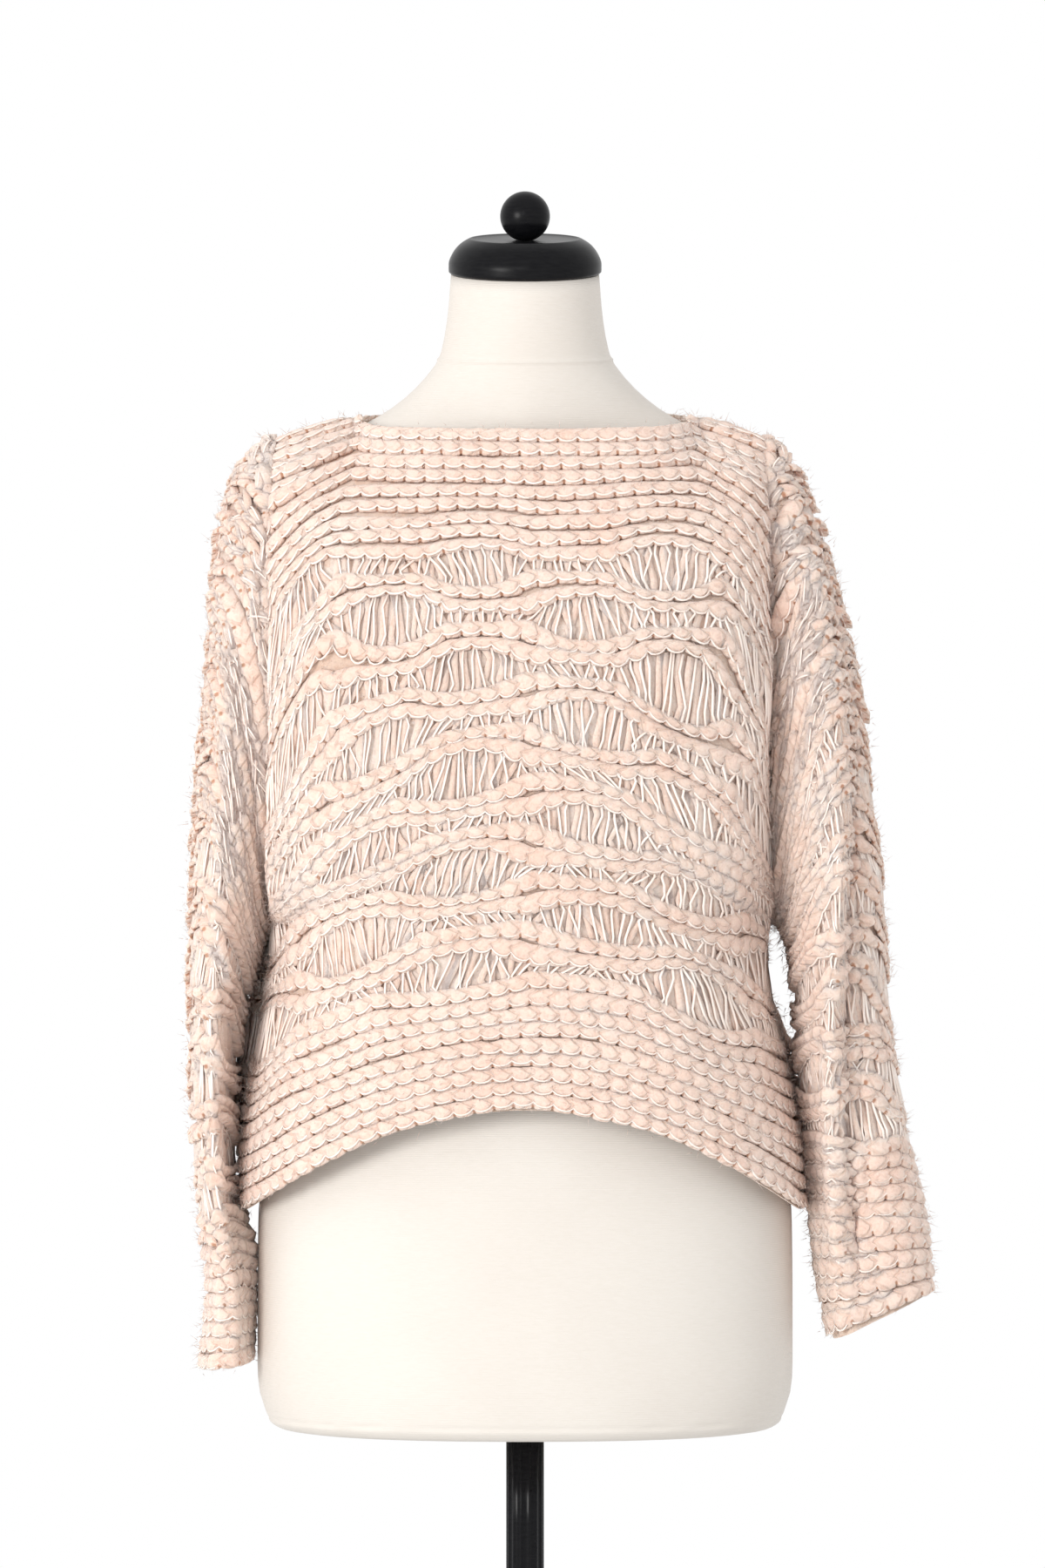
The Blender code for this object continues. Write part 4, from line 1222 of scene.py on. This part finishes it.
def lacquer_material(name, roughness, grain):
    made, tree, shader = new_material(name, Roughness=roughness, Specular_IOR_Level=0.11)
    pores = noise(tree, object_place(tree, (1.0, 1.0, 5.0)), 130.0, detail=4.0, Distortion=0.4)
    tone = ramp(tree, pores, ((0.30, (0.003, 0.003, 0.004)), (0.75, (0.008, 0.008, 0.009))))
    tree.links.new(tone, shader.inputs["Base Color"])
    cloud = noise(tree, object_place(tree), 40.0)
    ends = {"To_Min": roughness - 0.06, "To_Max": roughness + 0.08}
    rough = node(tree, "ShaderNodeMapRange", Value=cloud, **ends)
    tree.links.new(rough.outputs["Result"], shader.inputs["Roughness"])
    bump(tree, shader, pores, 0.00008 * grain, 0.5)
    return made


def floor_material():
    made, tree, shader = new_material("pale floor", Roughness=0.8)
    cloud = noise(tree, object_place(tree), 3.0)
    tone = ramp(tree, cloud, ((0.3, (0.80, 0.80, 0.80)), (0.7, (0.83, 0.83, 0.82))))
    tree.links.new(tone, shader.inputs["Base Color"])
    return made


# Sweater

rng_of = {name: np.random.default_rng(SEED + k) for k, name in enumerate(HAIRS)}
pink = yarn_material("pink yarn", *YARN_TONES, stitched=True)
# The backing, painted as shade where it shows between the stitches
shade = yarn_material("pink backing", *BACKING_SHADE_TONES)
# The haze in the windows, painted pale as light scattered through the knit
haze_and_light = yarn_material("pale haze", *WINDOW_HAZE_AND_LIGHT_TONES)
cord_finish = cord_material()


def make_cloth(name, inside, normals, plan, side):
    cloth = Cloth(name, inside, normals, plan, side, rng_of[name])
    yarn_mesh, cord_mesh, roots = lay_knit(cloth)
    points, faces, hazy_and_lit = lay_ground(cloth)
    # The backing sheet: painted shade between the stitches, and painted light on its pale faces in
    # the windows
    shade_and_light_sheet = make_piece(f"{name}_ground", points, faces, shade, "knit")
    shade_and_light_sheet.data.materials.append(haze_and_light)
    shade_and_light_sheet.data.polygons.foreach_set("material_index", hazy_and_lit.astype(np.int32))
    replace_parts(shade_and_light_sheet, name)
    yarn = make_piece(f"{name}_yarn", *yarn_mesh[:2], pink, "knit", marks=yarn_mesh[2])
    cord = make_piece(f"{name}_cord", *cord_mesh[:2], cord_finish, "knit")
    spikes = lay_hair(cloth, roots, HAIRS[name])
    hair = make_piece(f"{name}_fibres", *spikes, pink, "knit", shade=False)


for name, middle, top, toward, flat, area in (
    ("front", FRONT_MIDDLE, FRONT_TOP, -1, (0.55, 0.46), 0.218),
    ("back", BACK_MIDDLE, BACK_TOP, 1, (0.52, 0.50), 0.216),
):
    surface = panel_surface(middle, top, toward)
    outward = normals_of(surface) * toward
    make_cloth(name, surface, outward, PANEL_PLAN, None)

for name, side, flat, area in (
    ("sleeve_right", "right", (0.77, 0.46), 0.136),
    ("sleeve_left", "left", (0.71, 0.44), 0.152),
):
    inner = sleeve_surface(side, inset=THICKNESS)
    outer = sleeve_surface(side)
    make_cloth(name, inner, unit(outer - inner), SLEEVE_PLAN, side)


# Dress form


def ring_faces(rings, points):
    numbers = np.arange(rings * points).reshape(rings, points)
    a, b = numbers[:-1], np.roll(numbers[:-1], -1, axis=1)
    d, e = numbers[1:], np.roll(numbers[1:], -1, axis=1)
    return np.stack([a, b, e, d], axis=-1).reshape(-1, 4)


def capped(rings):
    """Rings closed at both ends, each end with a shrinking row of quads and a centre."""
    count = rings.shape[1]
    low = rings[0].mean(axis=0)
    high = rings[-1].mean(axis=0)
    ends = low + (rings[:1] - low) * 1e-3, high + (rings[-1:] - high) * 1e-3
    rings = np.concatenate([ends[0], rings, ends[1]])
    faces = ring_faces(len(rings), count)
    half = count // 2
    i = np.arange(half - 1)
    first = np.stack([i, (count - 1 - i) % count, (count - 2 - i) % count, i + 1], axis=1)
    last = first[:, ::-1] + (len(rings) - 1) * count
    return rings.reshape(-1, 3), np.concatenate([faces, first, last])


def form_rings(points=120):
    table = FORM_SECTIONS
    heights = column(table, 0)
    lengths = [0.0]
    for a, b in zip(table, table[1:]):
        lengths.append(lengths[-1] + math.hypot(b[0] - a[0], b[1] - a[1]))
    heights_at = np.array([np.interp(z, heights, lengths) for z in FORM_FINE])
    at = np.unique(np.concatenate([np.linspace(0, lengths[-1], 84), heights_at]))
    values = (smooth(at, lengths, column(table, k))[:, None] for k in range(7))
    z, wide, front, back, middle, lean, square = values
    angle = np.linspace(0, 2 * np.pi, points, endpoint=False)[None, :]
    across = signed_power(np.cos(angle), 2 / square)
    around = signed_power(np.sin(angle), 2 / square)
    deep = np.where(around < 0, front, back) * around
    tilt = np.radians(lean)
    places = [wide * across, middle + deep * np.cos(tilt), z + deep * np.sin(tilt)]
    rings = np.stack(places, axis=2)
    # The neck seam stands up a little, and the cover is gathered and turned in at its lower edge
    seam = NECK_SEAM_HEIGHT * np.exp(-(((z - NECK_SEAM_Z) / NECK_SEAM_HALF) ** 2))
    turned_in = -HEM_FOLD_DEPTH * np.exp(-(((z - HEM_FOLD_Z) / HEM_FOLD_HALF) ** 2))
    puckers = 0.5 + 0.5 * np.sin(angle * 23 + 1.8 * np.sin(angle * 5)) * np.sin(angle * 2) ** 2
    centre = np.concatenate([0 * z, middle, z], axis=1)[:, None, :]
    away = rings - centre
    away[..., 2] = 0
    return rings + unit(away) * (seam + turned_in * puckers)[..., None]


def turned(profile, count):
    angle = np.linspace(0, 2 * np.pi, count, endpoint=False)
    circle = np.stack([np.cos(angle), np.sin(angle), np.zeros(count)], axis=1)
    return np.array([circle * radius + np.array([0, 0, z]) for radius, z in profile])


def fine_profile(profile, count):
    table = np.array(profile)
    lengths = run_lengths(table)
    at = np.linspace(0, lengths[-1], count)
    return np.stack([smooth(at, lengths, table[:, 0]), smooth(at, lengths, table[:, 1])], axis=1)


def lean_onto_neck(rings, rise):
    z, _, _, _, middle, lean, _ = FORM_SECTIONS[-1]
    tilt = math.radians(lean)
    y, up = rings[..., 1], rings[..., 2] + rise
    placed = rings.copy()
    placed[..., 1] = middle + y * math.cos(tilt) - up * math.sin(tilt)
    placed[..., 2] = z + y * math.sin(tilt) + up * math.cos(tilt)
    return placed


def knob_profile(count):
    low = math.asin(KNOB_FOOT_RADIUS / KNOB_RADIUS)
    angles = np.linspace(low, math.pi - 0.04, count)
    foot = KNOB_RADIUS * math.cos(low)
    return [(KNOB_RADIUS * math.sin(a), foot - KNOB_RADIUS * math.cos(a)) for a in angles]


jersey = jersey_material()
wood = lacquer_material("black lacquered wood", 0.30, 1.0)
enamel = lacquer_material("black enamel", 0.22, 0.4)

cap_rings = lean_onto_neck(turned(fine_profile(CAP_PROFILE, 40), 80), SEAM_GAP)
knob_rings = lean_onto_neck(turned(knob_profile(34), 56), 2 * SEAM_GAP + CAP_PROFILE[-1][1])

flute_points = POLE_FLUTES * 12
turn = np.linspace(0, 2 * np.pi, flute_points, endpoint=False)
flute = POLE_RADIUS - POLE_FLUTE_DEPTH * np.abs(np.sin(turn * POLE_FLUTES / 2)) ** 0.8
circle = np.stack([flute * np.cos(turn), flute * np.sin(turn), np.zeros(flute_points)], axis=1)
levels = np.linspace(BASE_PROFILE[-1][1] + SEAM_GAP, FORM_SECTIONS[0][0] - SEAM_GAP, 12)
pole_rings = np.array([circle + np.array([0, 0, z]) for z in levels])

for name, rings, finish, slot, stands_for in (
    ("form_cover", form_rings(), jersey, "jersey", "form_torso"),
    ("cap", cap_rings, wood, "wood", "neck_cap"),
    ("knob", knob_rings, wood, "wood", "neck_knob"),
    ("fluted_pole", pole_rings, enamel, "pole", "pole"),
    ("round_base", turned(fine_profile(BASE_PROFILE, 42), 112), enamel, "base", "base"),
):
    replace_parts(make_piece(name, *capped(rings), finish, slot), stands_for)

# Floor, camera and light

low, wide, thin = -FLOOR_THICKNESS, FLOOR_RADIUS, 0.001
floor_points = turned([(thin, low), (wide, low), (wide, 0.0), (thin, 0.0)], 96)
floor_faces = ring_faces(4, 96).tolist()
floor_mesh = bpy.data.meshes.new("floor")
floor_mesh.from_pydata(floor_points.reshape(-1, 3).tolist(), [], floor_faces)
floor_mesh.materials.append(floor_material())
floor = bpy.data.objects.new("floor", floor_mesh)
bpy.context.scene.collection.objects.link(floor)

scene = bpy.context.scene
camera_data = bpy.data.cameras.new("camera")
camera_data.sensor_fit = "VERTICAL"
camera_data.sensor_height = SENSOR_HEIGHT
camera_data.lens = SENSOR_HEIGHT * CAMERA_DISTANCE / FRAME_HEIGHT
camera = bpy.data.objects.new("camera", camera_data)
camera.location = (CAMERA_SIDE, -CAMERA_DISTANCE, CAMERA_HEIGHT)
camera.rotation_euler = (math.radians(90), 0, 0)
scene.collection.objects.link(camera)
scene.camera = camera

world = bpy.data.worlds.new("studio")
world.use_nodes = True
sky = world.node_tree.nodes["Background"]
sky.inputs["Color"].default_value = (1.0, 1.0, 1.0, 1.0)
sky.inputs["Strength"].default_value = 1.0
scene.world = world


def area_light(name, place, aim, size, watts, colour=(1.0, 1.0, 1.0)):
    data = bpy.data.lights.new(name, "AREA")
    data.shape = "RECTANGLE"
    data.size, data.size_y = size
    data.energy = watts
    data.color = colour
    light = bpy.data.objects.new(name, data)
    light.location = place
    toward = np.array(aim) - np.array(place)
    flat = math.hypot(toward[0], toward[1])
    light.rotation_euler = (math.atan2(flat, -toward[2]), 0, math.atan2(-toward[0], toward[1]))
    scene.collection.objects.link(light)


area_light("key", (-2.3, -3.1, 1.60), (0.0, 0.0, 1.10), (1.3, 1.3), 84.0, (1.0, 0.985, 0.965))
area_light("glint", (-0.5, -3.4, 2.3), (0.0, 0.0, 1.50), (0.30, 0.30), 5.0)
scene.view_settings.view_transform = "Standard"
